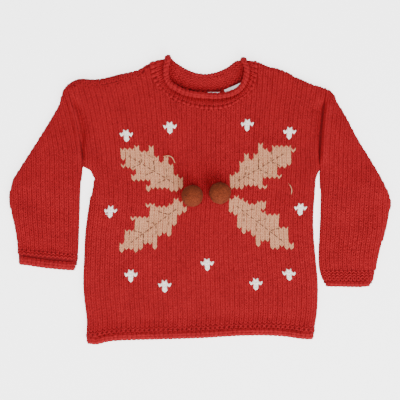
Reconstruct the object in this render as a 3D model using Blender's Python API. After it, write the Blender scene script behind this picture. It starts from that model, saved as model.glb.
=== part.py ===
"""A child's christmas sweater in thick wool, laid flat on its back.

The neck points to +Y, the front faces +Z and the underside rests on z = 0. Lengths are in millimetres and become
metres where a mesh is made. The body is a front and a back panel, sewn together at the sides and the shoulders.
Two tapered sleeves are sewn to dropped shoulders. The neckband, the hem and the cuffs end in a rolled edge. Two
felt balls sit on the front, and two blank labels lie in the back neck.
"""

import math

import bmesh
import bpy
from mathutils import Vector

MILLIMETRE = 0.001

WALL = 3.0  # thickness of the knitted cloth
LEAST_WALL = 2.0  # where the front sinks into a crease
LEAST_INNER_HEIGHT = 3.5  # of the front's inner side, clear of the back
SEAM_GAP = 0.3  # between two pieces that are sewn together
FOLD_REACH = 6.0  # plan depth over which a side of the flattened garment turns over
FOLD_LENGTH = FOLD_REACH * math.pi / 2
SEAM_HEIGHT = 4.1  # of the side seams, halfway up the folded side
FRONT_HEIGHT = 8.0  # top of the front above the floor
SLEEVE_HEIGHT = 8.2
ROLL_SLIT = 0.3  # between the upper and the lower run of a rolled edge
SIDE_LIFT = 0.7  # the front is a little fuller along its sides
SIDE_LIFT_PLACE = 11.0
SIDE_LIFT_WIDTH = 7.0

# Sides of the body from the hem to the underarm: height, left x, right x.
BODY_SIDES = (
    (-166.0, -136.4, 136.8),
    (-150.0, -135.4, 137.5),
    (-137.0, -136.2, 139.8),
    (-118.0, -138.6, 141.0),
    (-97.0, -139.8, 141.0),
    (-65.0, -138.6, 137.9),
    (-41.0, -137.4, 136.0),
    (-20.0, -135.0, 135.6),
    (2.0, -131.3, 136.9),
    (16.0, -127.8, 137.8),
    (26.0, -126.6, 138.7),
)

# The small arch under each arm, from the side of the body to the foot of the armhole seam: height, x.
ARCH_LEFT = ((32.6, -129.2), (37.4, -133.4))
ARCH_RIGHT = ((30.4, 140.6),)

# Armhole seams: foot x, foot y, tip x, tip y, and how far the middle bows towards the body.
ARMHOLE_LEFT = (-139.6, 39.6, -160.0, 136.5, 3.4)
ARMHOLE_RIGHT = (143.2, 34.8, 151.5, 133.3, -2.2)
UNDERARM_START = 2.0  # the side fold starts to open this far below the foot of the armhole
UNDERARM_BLEND = 10.0  # and is open this far above that
SIDE_STEPS = 40

# Upper outline over the shoulders and the sides of the neck: x, y.
SHOULDER_OUTLINE = (
    (-160.0, 136.6),
    (-152.0, 142.4),
    (-143.0, 145.0),
    (-127.0, 144.1),
    (-112.6, 145.8),
    (-96.0, 149.5),
    (-75.0, 154.2),
    (-66.0, 159.0),
    (-54.4, 166.7),
    (-45.0, 171.0),
    (-37.0, 173.4),
    (8.0, 175.0),
    (54.0, 172.0),
    (62.9, 167.4),
    (74.3, 162.8),
    (82.0, 158.4),
    (99.0, 154.0),
    (117.0, 145.2),
    (126.0, 141.9),
    (138.6, 136.9),
    (151.5, 133.4),
)

# How far the back comes forward over the left shoulder, measured in plan from the outline: x, depth.
SHOULDER_WRAP = (
    (-160.0, 2.5),
    (-146.0, 6.0),
    (-123.0, 8.2),
    (-104.0, 8.8),
    (-88.0, 7.8),
    (-76.0, 6.2),
    (-69.0, 3.2),
    (-63.5, 0.0),
)

# The neckband from the left fold round the front to the right fold: x and y on the neckline where it is picked
# up, x and y below the middle of the roll, height of the roll's inner side.
NECK_FRONT = (
    (-59.6, 159.3, -38.2, 166.8, 7.0),
    (-57.8, 149.0, -40.8, 157.0, 6.7),
    (-53.8, 140.0, -40.2, 148.0, 6.2),
    (-41.0, 126.8, -35.2, 138.6, 5.6),
    (-27.0, 118.4, -21.8, 130.4, 5.1),
    (-12.0, 112.4, -8.6, 126.7, 4.8),
    (6.0, 109.2, 7.0, 125.0, 4.7),
    (22.0, 109.2, 21.4, 124.7, 4.7),
    (36.0, 112.2, 34.0, 126.4, 4.8),
    (46.4, 118.6, 43.4, 130.2, 5.1),
    (56.8, 126.6, 50.0, 136.2, 5.5),
    (63.4, 135.0, 53.6, 143.4, 6.0),
    (67.0, 144.5, 55.4, 151.0, 6.4),
    (68.2, 153.5, 55.4, 158.6, 6.8),
    (68.8, 161.5, 53.6, 164.6, 7.0),
)

# The neckband from the right fold round the back to the left fold, in the same columns.
NECK_BACK = (
    (68.8, 161.5, 53.6, 164.6, 6.0),
    (60.6, 152.4, 46.0, 159.4, 6.0),
    (48.4, 142.6, 38.2, 154.6, 6.0),
    (34.0, 135.2, 28.0, 149.2, 6.0),
    (20.0, 131.4, 18.4, 146.6, 6.0),
    (5.0, 130.4, 6.0, 145.6, 6.0),
    (-8.0, 131.4, -6.0, 147.0, 6.0),
    (-22.0, 134.8, -18.0, 151.4, 6.0),
    (-38.0, 141.8, -28.6, 157.6, 6.0),
    (-51.0, 150.4, -34.0, 162.4, 6.0),
    (-59.6, 159.3, -38.2, 166.8, 6.0),
)

NECK_ROLL_HALF_WIDTH = 4.2
NECK_ROLL_HALF_HEIGHT = 3.0
NECK_ROLL_ANGLES = (168, 128, 90, 52, 14, -24, -62, -90)  # corners of the roll in section, in degrees
NECK_GROOVE = (0.6, 0.5)  # where the roll meets the band: how far before the roll, how deep
NECK_FOLD_RADIUS = 0.5  # inside of the fold at each side of the neckband
NECK_FOLD_STEPS = 6
NECK_FOLD_BASE = SEAM_HEIGHT
NECK_FOLD_ROLL = 6.5  # height of the line that the roll folds round
NECK_STEPS = 2  # sections of the neckband for each column of a panel
NECK_SEAM = 0.35
NECK_LEAN_LEFT = 1.1  # the neckline leans out by this much where it climbs over the fold
NECK_LEAN_RIGHT = 0.8

# Centre line of the rolled hem: x, y.
HEM_LINE = (
    (-130.2, -168.4),
    (-123.0, -168.9),
    (-112.0, -165.9),
    (-95.0, -164.1),
    (-59.0, -163.0),
    (1.0, -161.2),
    (49.0, -158.4),
    (79.0, -158.2),
    (103.0, -159.6),
    (121.0, -162.2),
    (130.6, -162.6),
)
HEM_HALF_WIDTH = 4.5
HEM_HALF_HEIGHT = 3.0
HEM_RISE = 16.0  # the front climbs over this length to the upper run of the hem
HEM_STEPS = 34

# Sleeves from the armhole to the cuff: outer x, outer y, inner x, inner y. The first row is the armhole seam.
SLEEVE_LEFT = (
    (-160.0, 136.5, -139.6, 39.6),
    (-164.6, 129.0, -141.6, 35.4),
    (-168.4, 114.0, -142.6, 27.5),
    (-176.0, 100.5, -143.0, 19.5),
    (-187.0, 82.0, -143.4, 10.0),
    (-200.0, 62.0, -144.0, -1.0),
    (-213.0, 41.5, -144.4, -14.0),
    (-224.0, 23.0, -144.9, -27.0),
    (-227.9, 6.0, -145.3, -39.0),
    (-226.5, -13.0, -145.7, -49.0),
    (-222.0, -31.0, -146.0, -57.5),
    (-218.6, -50.0, -146.6, -66.0),
    (-217.6, -67.9, -147.4, -74.9),
)
SLEEVE_RIGHT = (
    (151.5, 133.3, 143.2, 34.8),
    (158.8, 128.0, 144.0, 27.5),
    (165.0, 115.0, 144.5, 17.5),
    (173.5, 101.5, 144.7, 7.0),
    (183.5, 82.0, 144.7, -4.0),
    (195.5, 61.5, 144.6, -16.0),
    (208.5, 40.5, 144.1, -29.0),
    (220.5, 19.0, 143.5, -42.0),
    (227.9, 1.0, 142.8, -53.0),
    (226.0, -19.0, 142.3, -64.0),
    (220.5, -41.0, 142.3, -75.0),
    (214.6, -64.0, 143.2, -84.0),
    (209.2, -86.0, 146.0, -91.6),
    (206.4, -97.0, 148.6, -96.8),
)
SLEEVE_RINGS = 15
SLEEVE_FLAT_STEPS = 6
SLEEVE_BOW_FADE = 0.3  # share of the sleeve over which the armhole's bow dies out

# Rolled cuffs: x and y of the roll's centre line, from the outer to the inner side of the sleeve.
CUFF_LEFT_LINE = ((-211.6, -73.7), (-203.0, -74.7), (-189.0, -76.9), (-166.0, -79.3), (-154.6, -80.0))
CUFF_RIGHT_LINE = ((199.6, -100.9), (190.0, -101.6), (177.0, -101.4), (164.0, -101.0), (154.8, -100.9))
CUFF_LEFT_HALF = (4.7, 3.0)  # half width in plan, half height
CUFF_RIGHT_HALF = (3.4, 2.5)
CUFF_LEFT_TILT = 6.3  # degrees by which the left cuff points outwards
CUFF_STEPS = 9
CUFF_RISE = 16.0  # the sleeve climbs over this length to the upper run of the cuff

ROLL_POINTS = 8
ROLL_TURN_STEPS = 5

# Soft troughs (negative) and ridges of the front: start x, y, end x, y, half width, height.
FRONT_CREASES = (
    (-149.0, 128.0, -136.5, 48.0, 6.0, -1.5),
    (147.5, 116.0, 140.5, 46.0, 5.0, -2.2),
    (136.0, 128.0, 133.0, 60.0, 11.0, -0.9),
    (118.0, 140.0, 111.0, 96.0, 9.0, 0.6),
    (-118.0, 24.0, -74.0, -6.0, 12.0, 0.6),
    (128.0, 22.0, 96.0, -18.0, 13.0, 0.7),
    (-112.0, -118.0, -96.0, -40.0, 12.0, -0.5),
    (104.0, -132.0, 98.0, -60.0, 13.0, 0.6),
    (-30.0, -140.0, -22.0, -96.0, 16.0, 0.5),
    (-96.0, 138.0, -84.0, 112.0, 10.0, -0.5),
)

# The same for the sleeves.
SLEEVE_CREASES = (
    (-165.0, 118.0, -147.0, 56.0, 6.0, 0.8),
    (-208.0, 34.0, -176.0, 8.0, 9.0, 0.6),
    (-212.0, 2.0, -168.0, -14.0, 9.0, -0.8),
    (-196.0, -46.0, -162.0, -60.0, 8.0, 0.5),
    (158.0, 118.0, 150.5, 48.0, 6.0, 1.3),
    (206.0, 26.0, 178.0, 0.0, 9.0, 0.7),
    (216.0, -8.0, 170.0, -30.0, 9.0, -0.8),
    (188.0, -56.0, 158.0, -74.0, 8.0, 0.5),
)

BALL_DIAMETER = 25.8
BALL_PLACES = {"ball_left": (-9.4, 5.0), "ball_right": (24.1, 8.5)}
BALL_FLAT = 2.4  # the sewn side is flattened by this much
BALL_CONTACT = 6.0  # half width of the place that it is sewn to
BALL_SEGMENTS = 16
BALL_RINGS = 10

# Labels: left end of the top edge x, y, its direction in degrees, width, length down the back.
LABELS = {
    "neck_label": (28.8, 132.0, 23.0, 22.0, 15.0),
    "size_label": (9.0, 129.2, 0.0, 15.0, 11.0),
}
LABEL_THICKNESS = 0.4

SHARP_ANGLE = 50.0  # edges that turn by more than this many degrees are shaded sharp

FOLD_TURNS = (0.0, 0.4, 0.8, 1.2, math.pi / 2)
FRONT_COLUMNS = (8, 18, 8)  # over the left shoulder, along the neckline, over the right shoulder
BACK_COLUMNS = (8, 11, 7)
FRONT_ROWS = (0.0, 0.02, 0.05, 0.12, 0.2, 0.28, 0.36, 0.44, 0.52, 0.6, 0.64, 0.67, 0.69, 0.72, 0.77, 0.84, 0.92)
BACK_ROWS = (0.0, 0.1, 0.24, 0.38, 0.52, 0.62, 0.67, 0.71, 0.75, 0.82, 0.91)
FRONT_EDGE_ROWS = 4
BACK_EDGE_ROWS = 7
BACK_EDGE_LENGTH = 2 * FOLD_LENGTH + WALL  # from the flat underside, up over the fold and on to the front side
COLUMN_TRIES = 4  # rounds in which a point of a leaning column settles


def smooth_step(low, high, value):
    share = min(max((value - low) / (high - low), 0.0), 1.0)
    return share * share * (3 - 2 * share)


def curve_through(knots, place):
    """Smooth curve through rows of numbers; each row starts with its place, and the rest is returned."""
    last = len(knots) - 1
    place = min(max(place, knots[0][0]), knots[last][0])
    index = max(i for i in range(last) if knots[i][0] <= place)
    span = knots[index + 1][0] - knots[index][0]
    share = (place - knots[index][0]) / span
    result = []
    for column in range(1, len(knots[0])):
        ends = []
        for knot in (index, index + 1):
            before = max(knot - 1, 0)
            after = min(knot + 1, last)
            rise = knots[after][column] - knots[before][column]
            ends.append(rise / (knots[after][0] - knots[before][0]))
        low = knots[index][column]
        high = knots[index + 1][column]
        square = share * share
        cube = square * share
        result.append(
            (2 * cube - 3 * square + 1) * low
            + (cube - 2 * square + share) * span * ends[0]
            + (3 * square - 2 * cube) * high
            + (cube - square) * span * ends[1]
        )
    return result


def value_at(knots, place):
    return curve_through(knots, place)[0]


def along_rows(rows):
    """The rows of a table, each led by its share of the way along the first two columns."""
    way = [0.0]
    for one, other in zip(rows, rows[1:]):
        way.append(way[-1] + math.hypot(other[0] - one[0], other[1] - one[1]))
    return [(step / way[-1], *row) for step, row in zip(way, rows)]


def armhole_point(armhole, share):
    """A point of the armhole seam, from its foot at 0 to its tip at 1."""
    foot_x, foot_y, tip_x, tip_y, bow = armhole
    bend = 4 * bow * share * (1 - share)
    return foot_x + (tip_x - foot_x) * share + bend, foot_y + (tip_y - foot_y) * share


class Side:
    """One side of the body: the folded side, the arch under the arm and the armhole seam."""

    def __init__(self, column, arch, armhole):
        self.armhole = armhole
        self.foot = armhole[1]
        self.inward = math.copysign(SEAM_GAP / 2, -armhole[0])
        self.knots = [(row[0], row[column]) for row in BODY_SIDES]
        self.knots += arch
        self.knots.append((self.foot, armhole[0] + self.inward))
        low = self.knots[0][0]
        heights = [low + (self.foot - low) * step / SIDE_STEPS for step in range(SIDE_STEPS + 1)]
        self.line = [(self.x_at(height), height) for height in heights]

    def x_at(self, y):
        if y < self.foot:
            return value_at(self.knots, y)
        share = (y - self.foot) / (self.armhole[3] - self.foot)
        return armhole_point(self.armhole, share)[0] + self.inward

    def folded(self, y):
        """1 beside the folded side, 0 beside the armhole."""
        low = self.foot - UNDERARM_START
        return 1 - smooth_step(low, low + UNDERARM_BLEND, y)


LEFT = Side(1, ARCH_LEFT, ARMHOLE_LEFT)
RIGHT = Side(2, ARCH_RIGHT, ARMHOLE_RIGHT)


def segment_distance(x, y, start, end):
    run_x = end[0] - start[0]
    run_y = end[1] - start[1]
    share = ((x - start[0]) * run_x + (y - start[1]) * run_y) / (run_x * run_x + run_y * run_y)
    share = min(max(share, 0.0), 1.0)
    return math.hypot(x - start[0] - share * run_x, y - start[1] - share * run_y)


def side_distance(x, y):
    """How far a point of the body lies inside the nearer folded side."""
    line = LEFT.line if x < 0 else RIGHT.line
    return min(segment_distance(x, y, one, other) for one, other in zip(line, line[1:]))


def folded_share(depth, inset):
    """Share of the full height at a depth inside a folded edge, 0 at the seam and 1 past the fold."""
    share = (depth - inset) / (FOLD_REACH - inset)
    share = min(max(share, 0.0), 1.0)
    return math.sqrt(1 - (1 - share) ** 2)


def over_fold(way, inset):
    """Plan depth and share of the height, a way along the cloth from the outline of the shoulder."""
    turn = min(abs(way) / FOLD_REACH, math.pi / 2)
    depth = inset + (FOLD_REACH - inset) * (1 - math.cos(turn))
    depth += max(abs(way) - FOLD_LENGTH, 0.0)
    return depth, math.sin(turn)


def way_to(depth):
    """Way along the outer side of the cloth from the outline to a plan depth."""
    turn = math.acos(1 - min(max(depth, 0.0) / FOLD_REACH, 1.0))
    return FOLD_REACH * turn + max(depth - FOLD_REACH, 0.0)


def creases(table, x, y):
    total = 0.0
    for start_x, start_y, end_x, end_y, width, height in table:
        away = segment_distance(x, y, (start_x, start_y), (end_x, end_y)) / width
        total += height * math.exp(-away * away)
    return total


def hem_edge(x):
    """Where the panels end above the rolled hem."""
    return value_at(HEM_LINE, x) + HEM_HALF_WIDTH + SEAM_GAP


def front_top(x, y):
    """Height of the top of the front, before its sides turn down."""
    roll_middle = 3 * HEM_HALF_HEIGHT + ROLL_SLIT
    rise = roll_middle + WALL / 2 - FRONT_HEIGHT
    near_hem = 1 - smooth_step(0, HEM_RISE, y - hem_edge(x))
    fullness = (side_distance(x, y) - SIDE_LIFT_PLACE) / SIDE_LIFT_WIDTH
    lift = SIDE_LIFT * math.exp(-fullness * fullness)
    return FRONT_HEIGHT + rise * near_hem + lift + creases(FRONT_CREASES, x, y) * (1 - near_hem)


def front_height(x, y, share, inner):
    seam = SEAM_HEIGHT + SEAM_GAP / 2
    full = front_top(x, y)
    if inner:
        full = max(full - WALL, LEAST_INNER_HEIGHT)
        full = min(full, front_top(x, y) - LEAST_WALL)
    return seam + (full - seam) * share


def back_height(share, inner, upper, x, y):
    seam = SEAM_HEIGHT - SEAM_GAP / 2
    if upper:
        full = front_top(x, y) - (WALL if inner else 0.0)
    else:
        full = WALL if inner else 0.0
    return seam + (full - seam) * share


def neck_nodes(rows, count):
    """Points along the pick-up line, in the order of the table, with count spaces between them."""
    lead = along_rows(rows)
    return [curve_through(lead, step / count)[:2] for step in range(count + 1)]


def with_outline_ends(points):
    """Carries both ends of a neckline, from left to right, on to the outline of the shoulders."""
    left_x = points[0][0] - NECK_LEAN_LEFT
    right_x = points[-1][0] + NECK_LEAN_RIGHT
    left = (left_x, value_at(SHOULDER_OUTLINE, left_x))
    right = (right_x, value_at(SHOULDER_OUTLINE, right_x))
    return [left, *points, right]


def shoulder_wrap(x):
    """How far the seam lies in front of the outline: only the left shoulder is wrapped."""
    if x > SHOULDER_WRAP[-1][0]:
        return 0.0
    return value_at(SHOULDER_WRAP, x)


def top_columns(neck_rows, counts, front):
    """For each inner column of a panel: x of its upper end, and the signed way from the outline to its end."""
    neck = with_outline_ends(sorted(neck_nodes(neck_rows, counts[1])))
    left_start = ARMHOLE_LEFT[2] + FOLD_REACH
    right_end = ARMHOLE_RIGHT[2] - FOLD_REACH
    xs = [left_start + (neck[0][0] - left_start) * step / counts[0] for step in range(counts[0])]
    tops = [(x, None) for x in xs]
    tops += neck
    xs = [neck[-1][0] + (right_end - neck[-1][0]) * (step + 1) / counts[2] for step in range(counts[2])]
    tops += [(x, None) for x in xs]
    columns = []
    for x, y in tops:
        columns.append((x, top_way(x, y, front)))
    return columns


def top_way(x, y, front):
    """Signed way from the outline to the end of a column: above the fold is positive."""
    depth = 0.0 if y is None else value_at(SHOULDER_OUTLINE, x) - y
    wrap = shoulder_wrap(x)
    if front:
        return way_to(max(depth, wrap + SEAM_GAP / 2 if wrap else 0.0))
    if depth > 0:
        return -way_to(depth)
    return way_to(max(wrap - SEAM_GAP / 2, 0.0))


def column_x(column, share_up, y, inset):
    """x of a point of a column: folded columns keep their depth, inner ones share the width."""
    left = LEFT.x_at(y)
    right = RIGHT.x_at(y)
    kind, low, high = column
    if kind == "inner":
        share = low + (high - low) * share_up
        return left + FOLD_REACH + (right - left - 2 * FOLD_REACH) * share
    narrowed = inset * (1 - low / FOLD_REACH)
    if kind == "left":
        return left + low + narrowed * LEFT.folded(y)
    return right - low - narrowed * RIGHT.folded(y)


def panel_columns(neck_rows, counts, front):
    """All columns of a panel with the way to their upper ends."""
    depths = [FOLD_REACH * (1 - math.cos(turn)) for turn in FOLD_TURNS[:-1]]
    columns = []
    for depth in depths:
        x = ARMHOLE_LEFT[2] + depth
        columns.append((("left", depth, depth), x, top_way(x, None, front)))
    inner = top_columns(neck_rows, counts, front)
    for index, (x, way) in enumerate(inner):
        y = value_at(SHOULDER_OUTLINE, x) - over_fold(way, 0.0)[0]
        left = LEFT.x_at(y)
        right = RIGHT.x_at(y)
        high = (x - left - FOLD_REACH) / (right - left - 2 * FOLD_REACH)
        low = index / (len(inner) - 1)
        columns.append((("inner", low, min(max(high, 0.0), 1.0)), x, way))
    for depth in depths[::-1]:
        x = ARMHOLE_RIGHT[2] - depth
        columns.append((("right", depth, depth), x, top_way(x, None, front)))
    return columns


def panel_side(columns, rows, edge_rows, edge_length, front, inner):
    """One side of a panel's wall as a grid of points, a list for each column."""
    inset = WALL if inner else 0.0
    toward = 1 if front else -1
    grid = []
    for column, top_x, way in columns:
        line = []
        start_way = way + toward * edge_length
        depth, _ = over_fold(start_way, inset)
        start_y = value_at(SHOULDER_OUTLINE, top_x) - depth
        end_y = value_at(SHOULDER_OUTLINE, top_x) - over_fold(way, inset)[0]
        low_y = hem_edge(column_x(column, 0.0, BODY_SIDES[0][0], inset))
        for share in rows:
            y = low_y + (start_y - low_y) * share
            x = column_x(column, (y - low_y) / (end_y - low_y), y, inset)
            line.append(panel_point(x, y, 1.0, front, front, inner))
        for step in range(edge_rows + 1):
            now = start_way + (way - start_way) * step / edge_rows
            depth, turned = over_fold(now, inset)
            upper = front or now > 0
            x = top_x
            for _ in range(COLUMN_TRIES):
                y = value_at(SHOULDER_OUTLINE, x) - depth
                share_up = 1.0 if now > 0 and not front else (y - low_y) / (end_y - low_y)
                x = column_x(column, min(share_up, 1.0), y, inset)
            line.append(panel_point(x, y, turned, front, upper, inner))
        grid.append(line)
    return grid


def panel_point(x, y, turned, front, upper, inner):
    inset = WALL if inner else 0.0
    share = turned * folded_share(side_distance(x, y), inset)
    if front:
        return Vector((x, y, front_height(x, y, share, inner)))
    return Vector((x, y, back_height(share, inner, upper, x, y)))


def linked_object(name, mesh, material):
    mesh.materials.append(material)
    piece = bpy.data.objects.new(name, mesh)
    bpy.context.scene.collection.objects.link(piece)
    return piece


def mesh_from(name, points, faces):
    """A closed mesh in metres with its faces turned outwards and smooth."""
    mesh = bpy.data.meshes.new(name)
    mesh.from_pydata([tuple(Vector(point) * MILLIMETRE) for point in points], [], faces)
    work = bmesh.new()
    work.from_mesh(mesh)
    bmesh.ops.recalc_face_normals(work, faces=work.faces)
    work.to_mesh(mesh)
    work.free()
    mesh.shade_smooth()
    mesh.set_sharp_from_angle(angle=math.radians(SHARP_ANGLE))
    return mesh


def wall_mesh(name, outer, inner):
    """A wall between two grids of the same size, closed along its four edges."""
    columns = len(outer)
    rows = len(outer[0])
    points = [point for line in outer for point in line]
    points += [point for line in inner for point in line]
    half = columns * rows
    faces = []
    for i in range(columns - 1):
        for j in range(rows - 1):
            corner = i * rows + j
            quad = (corner, corner + rows, corner + rows + 1, corner + 1)
            faces.append(quad)
            faces.append(tuple(half + index for index in reversed(quad)))
    last_row = rows - 1
    last_column = (columns - 1) * rows
    rim = [(i * rows, (i + 1) * rows) for i in range(columns - 1)]
    rim += [(i * rows + last_row, (i + 1) * rows + last_row) for i in range(columns - 1)]
    rim += [(j, j + 1) for j in range(last_row)]
    rim += [(last_column + j, last_column + j + 1) for j in range(last_row)]
    for one, other in rim:
        faces.append((other, one, half + one, half + other))
    return mesh_from(name, points, faces)


def ring_mesh(name, rings):
    """A closed ring of closed sections."""
    size = len(rings[0])
    points = [point for ring in rings for point in ring]
    faces = []
    for i in range(len(rings)):
        start = i * size
        after = ((i + 1) % len(rings)) * size
        for j in range(size):
            k = (j + 1) % size
            faces.append((start + j, start + k, after + k, after + j))
    return mesh_from(name, points, faces)


def tube_mesh(name, outer, inner):
    """An open-ended tube: two nested sets of rings, joined at both ends."""
    size = len(outer[0])
    count = len(outer)
    points = [point for ring in outer for point in ring]
    points += [point for ring in inner for point in ring]
    half = size * count
    faces = []
    for i in range(count - 1):
        for j in range(size):
            k = (j + 1) % size
            quad = (i * size + j, i * size + k, (i + 1) * size + k, (i + 1) * size + j)
            faces.append(quad)
            faces.append(tuple(half + index for index in reversed(quad)))
    for end in (0, (count - 1) * size):
        for j in range(size):
            k = (j + 1) % size
            faces.append((end + k, end + j, half + end + j, half + end + k))
    return mesh_from(name, points, faces)


def linear(*colour):
    """Scene-linear colour of a display colour given in 0 to 255."""
    parts = [part / 255 for part in colour]
    return (*[part / 12.92 if part <= 0.04045 else ((part + 0.055) / 1.055) ** 2.4 for part in parts], 1.0)


def finish(name, colour, roughness):
    material = bpy.data.materials.new(name)
    material.use_nodes = True
    shader = material.node_tree.nodes["Principled BSDF"]
    shader.inputs["Base Color"].default_value = colour
    shader.inputs["Roughness"].default_value = roughness
    shader.inputs["Metallic"].default_value = 0.0
    return material


def make_panel(name, neck_rows, counts, rows, edge_rows, edge_length, front, material):
    columns = panel_columns(neck_rows, counts, front)
    sides = [panel_side(columns, rows, edge_rows, edge_length, front, inner) for inner in (False, True)]
    linked_object(name, wall_mesh(name, *sides), material)


def sleeve_ring(outer_end, inner_end, bow, inset, full, creased):
    """One section of a sleeve, laid flat between the outer and the inner fold."""
    run = Vector((outer_end[0] - inner_end[0], outer_end[1] - inner_end[1], 0.0))
    width = run.length
    along = run.normalized()
    turns = list(FOLD_TURNS)
    reach = FOLD_REACH - inset
    depths = [inset + reach * (1 - math.cos(turn)) for turn in turns]
    heights = [math.sin(turn) for turn in turns]
    flat = [
        FOLD_REACH + (width - 2 * FOLD_REACH) * step / SLEEVE_FLAT_STEPS for step in range(1, SLEEVE_FLAT_STEPS)
    ]
    half = list(zip(depths, heights))
    half += [(place, 1.0) for place in flat]
    half += [(width - depth, height) for depth, height in reversed(list(zip(depths, heights)))]
    points = []
    for upper, profile in ((True, half), (False, half[-2:0:-1])):
        for place, share in profile:
            bend = 4 * bow * place * (width - place) / (width * width)
            spot = Vector((inner_end[0], inner_end[1], 0.0)) + along * place
            spot.x += bend
            if upper:
                top = full + creased(spot.x, spot.y) - inset
                spot.z = SEAM_HEIGHT + (top - SEAM_HEIGHT) * share
            else:
                spot.z = SEAM_HEIGHT - (SEAM_HEIGHT - inset) * share
            points.append(spot)
    return points


def make_sleeve(name, table, armhole, roll_height, material):
    """A tapered tube, laid flat, from the armhole seam to the top of the rolled cuff."""
    lead = [(index / (len(table) - 1), *row) for index, row in enumerate(table)]
    outward = math.copysign(SEAM_GAP / 2, armhole[0])
    raised = 3 * roll_height + ROLL_SLIT + WALL / 2
    sides = ([], [])
    for step in range(SLEEVE_RINGS):
        share = step / (SLEEVE_RINGS - 1)
        outer_x, outer_y, inner_x, inner_y = curve_through(lead, share)
        bow = armhole[4] * max(1 - share / SLEEVE_BOW_FADE, 0.0) ** 2
        left_to_go = math.hypot(outer_x - table[-1][0], outer_y - table[-1][1])
        near_cuff = 1 - smooth_step(0, CUFF_RISE, left_to_go)
        full = SLEEVE_HEIGHT + (raised - SLEEVE_HEIGHT) * near_cuff
        fade = 1 - near_cuff

        def creased(x, y, fade=fade):
            return creases(SLEEVE_CREASES, x, y) * fade

        gap = outward * (1 - share)
        for side, inset in zip(sides, (0.0, WALL)):
            ends = (outer_x + gap, outer_y), (inner_x + gap, inner_y)
            side.append(sleeve_ring(*ends, bow, inset, full, creased))
    linked_object(name, tube_mesh(name, *sides), material)


def roll_section(inner_point, across, normal, half_width, half_height):
    """An oval of rolled cloth that touches inner_point with its inner side."""
    flat = math.cos(math.pi / ROLL_POINTS)  # so that the flats of the oval touch its full height and width
    points = []
    for step in range(ROLL_POINTS):
        angle = 2 * math.pi * (step + 0.5) / ROLL_POINTS
        side = half_width * math.cos(angle) / flat
        height = half_height * (1 + math.sin(angle) / flat)
        points.append(inner_point + across * side + normal * height)
    return points


def make_rolled_edge(name, line, half_width, half_height, across, steps, material):
    """A rolled edge all round a flattened opening: an upper run, a turn, a lower run and a turn."""
    lead = along_rows(line)
    run = [Vector((*curve_through(lead, step / steps), 0.0)) for step in range(steps + 1)]
    pivot_height = 2 * half_height + ROLL_SLIT / 2
    radius = ROLL_SLIT / 2
    up = Vector((0.0, 0.0, 1.0))
    stations = [(spot, up) for spot in run]
    for spots, start in ((run, 1), (run[::-1], -1)):
        outward = (spots[-1] - spots[-2]).normalized()
        for step in range(1, ROLL_TURN_STEPS):
            angle = math.pi * step / ROLL_TURN_STEPS
            stations.append((spots[-1], up * (start * math.cos(angle)) + outward * math.sin(angle)))
        if start == 1:
            stations += [(spot, -up) for spot in run[::-1]]
    rings = []
    for spot, normal in stations:
        inner_point = spot + up * pivot_height + normal * radius
        rings.append(roll_section(inner_point, across, normal, half_width, half_height))
    linked_object(name, ring_mesh(name, rings), material)


def neck_section(base, roll, normal):
    """The neckband in section: a wall from the pick-up line, then the roll on its outer side."""
    band = roll - base
    length = band.length
    along = band.normalized()
    normal = (normal - along * normal.dot(along)).normalized()
    start = NECK_SEAM
    edge = length - NECK_ROLL_HALF_WIDTH
    middle = (start + edge) / 2
    plan = [(middle, 0.0), (start, 0.0), (start + NECK_SEAM, WALL), (middle, WALL)]
    plan.append((edge - NECK_GROOVE[0], WALL - NECK_GROOVE[1]))
    for degrees in NECK_ROLL_ANGLES:
        angle = math.radians(degrees)
        away = length + NECK_ROLL_HALF_WIDTH * math.cos(angle)
        plan.append((away, NECK_ROLL_HALF_HEIGHT * (1 + math.sin(angle))))
    return [base + along * place + normal * height for place, height in plan]


def neck_stations(rows, count, up, base_heights):
    """Sections along the front or the back of the neckband, without their two ends."""
    lead = along_rows(rows)
    nodes = neck_nodes(rows, count)
    steps = count * NECK_STEPS
    stations = []
    for step in range(1, steps):
        node, part = divmod(step, NECK_STEPS)
        base = Vector((*nodes[node], 0.0))
        if part:
            base = base.lerp(Vector((*nodes[node + 1], 0.0)), part / NECK_STEPS)
        base.z = base_heights(base.x, base.y)
        roll = Vector(curve_through(lead, step / steps)[2:])
        stations.append((base, roll, up))
    return stations


def neck_fold(row, start):
    """Sections that turn from the front of the neckband to the back, or the other way."""
    base = Vector((row[0], row[1], NECK_FOLD_BASE))
    roll = Vector((row[2], row[3], NECK_FOLD_ROLL))
    along = (roll - base).normalized()
    up = Vector((0.0, 0.0, 1.0))
    up = (up - along * up.dot(along)).normalized()
    outward = up.cross(along)
    if outward.y < 0:
        outward = -outward
    stations = []
    for step in range(NECK_FOLD_STEPS + 1):
        angle = math.pi * step / NECK_FOLD_STEPS
        normal = up * (start * math.cos(angle)) + outward * math.sin(angle)
        stations.append((base + normal * NECK_FOLD_RADIUS, roll + normal * NECK_FOLD_RADIUS, normal))
    return stations


def front_base(x, y):
    """Height of the neckband's inner side where it leaves the front."""
    depth = value_at(SHOULDER_OUTLINE, x) - y
    turned = over_fold(way_to(depth), 0.0)[1]
    return SEAM_HEIGHT + (FRONT_HEIGHT - WALL - SEAM_HEIGHT) * turned


def back_base(x, y):
    depth = value_at(SHOULDER_OUTLINE, x) - y
    turned = over_fold(way_to(depth), 0.0)[1]
    return SEAM_HEIGHT - (SEAM_HEIGHT - WALL) * turned


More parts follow.
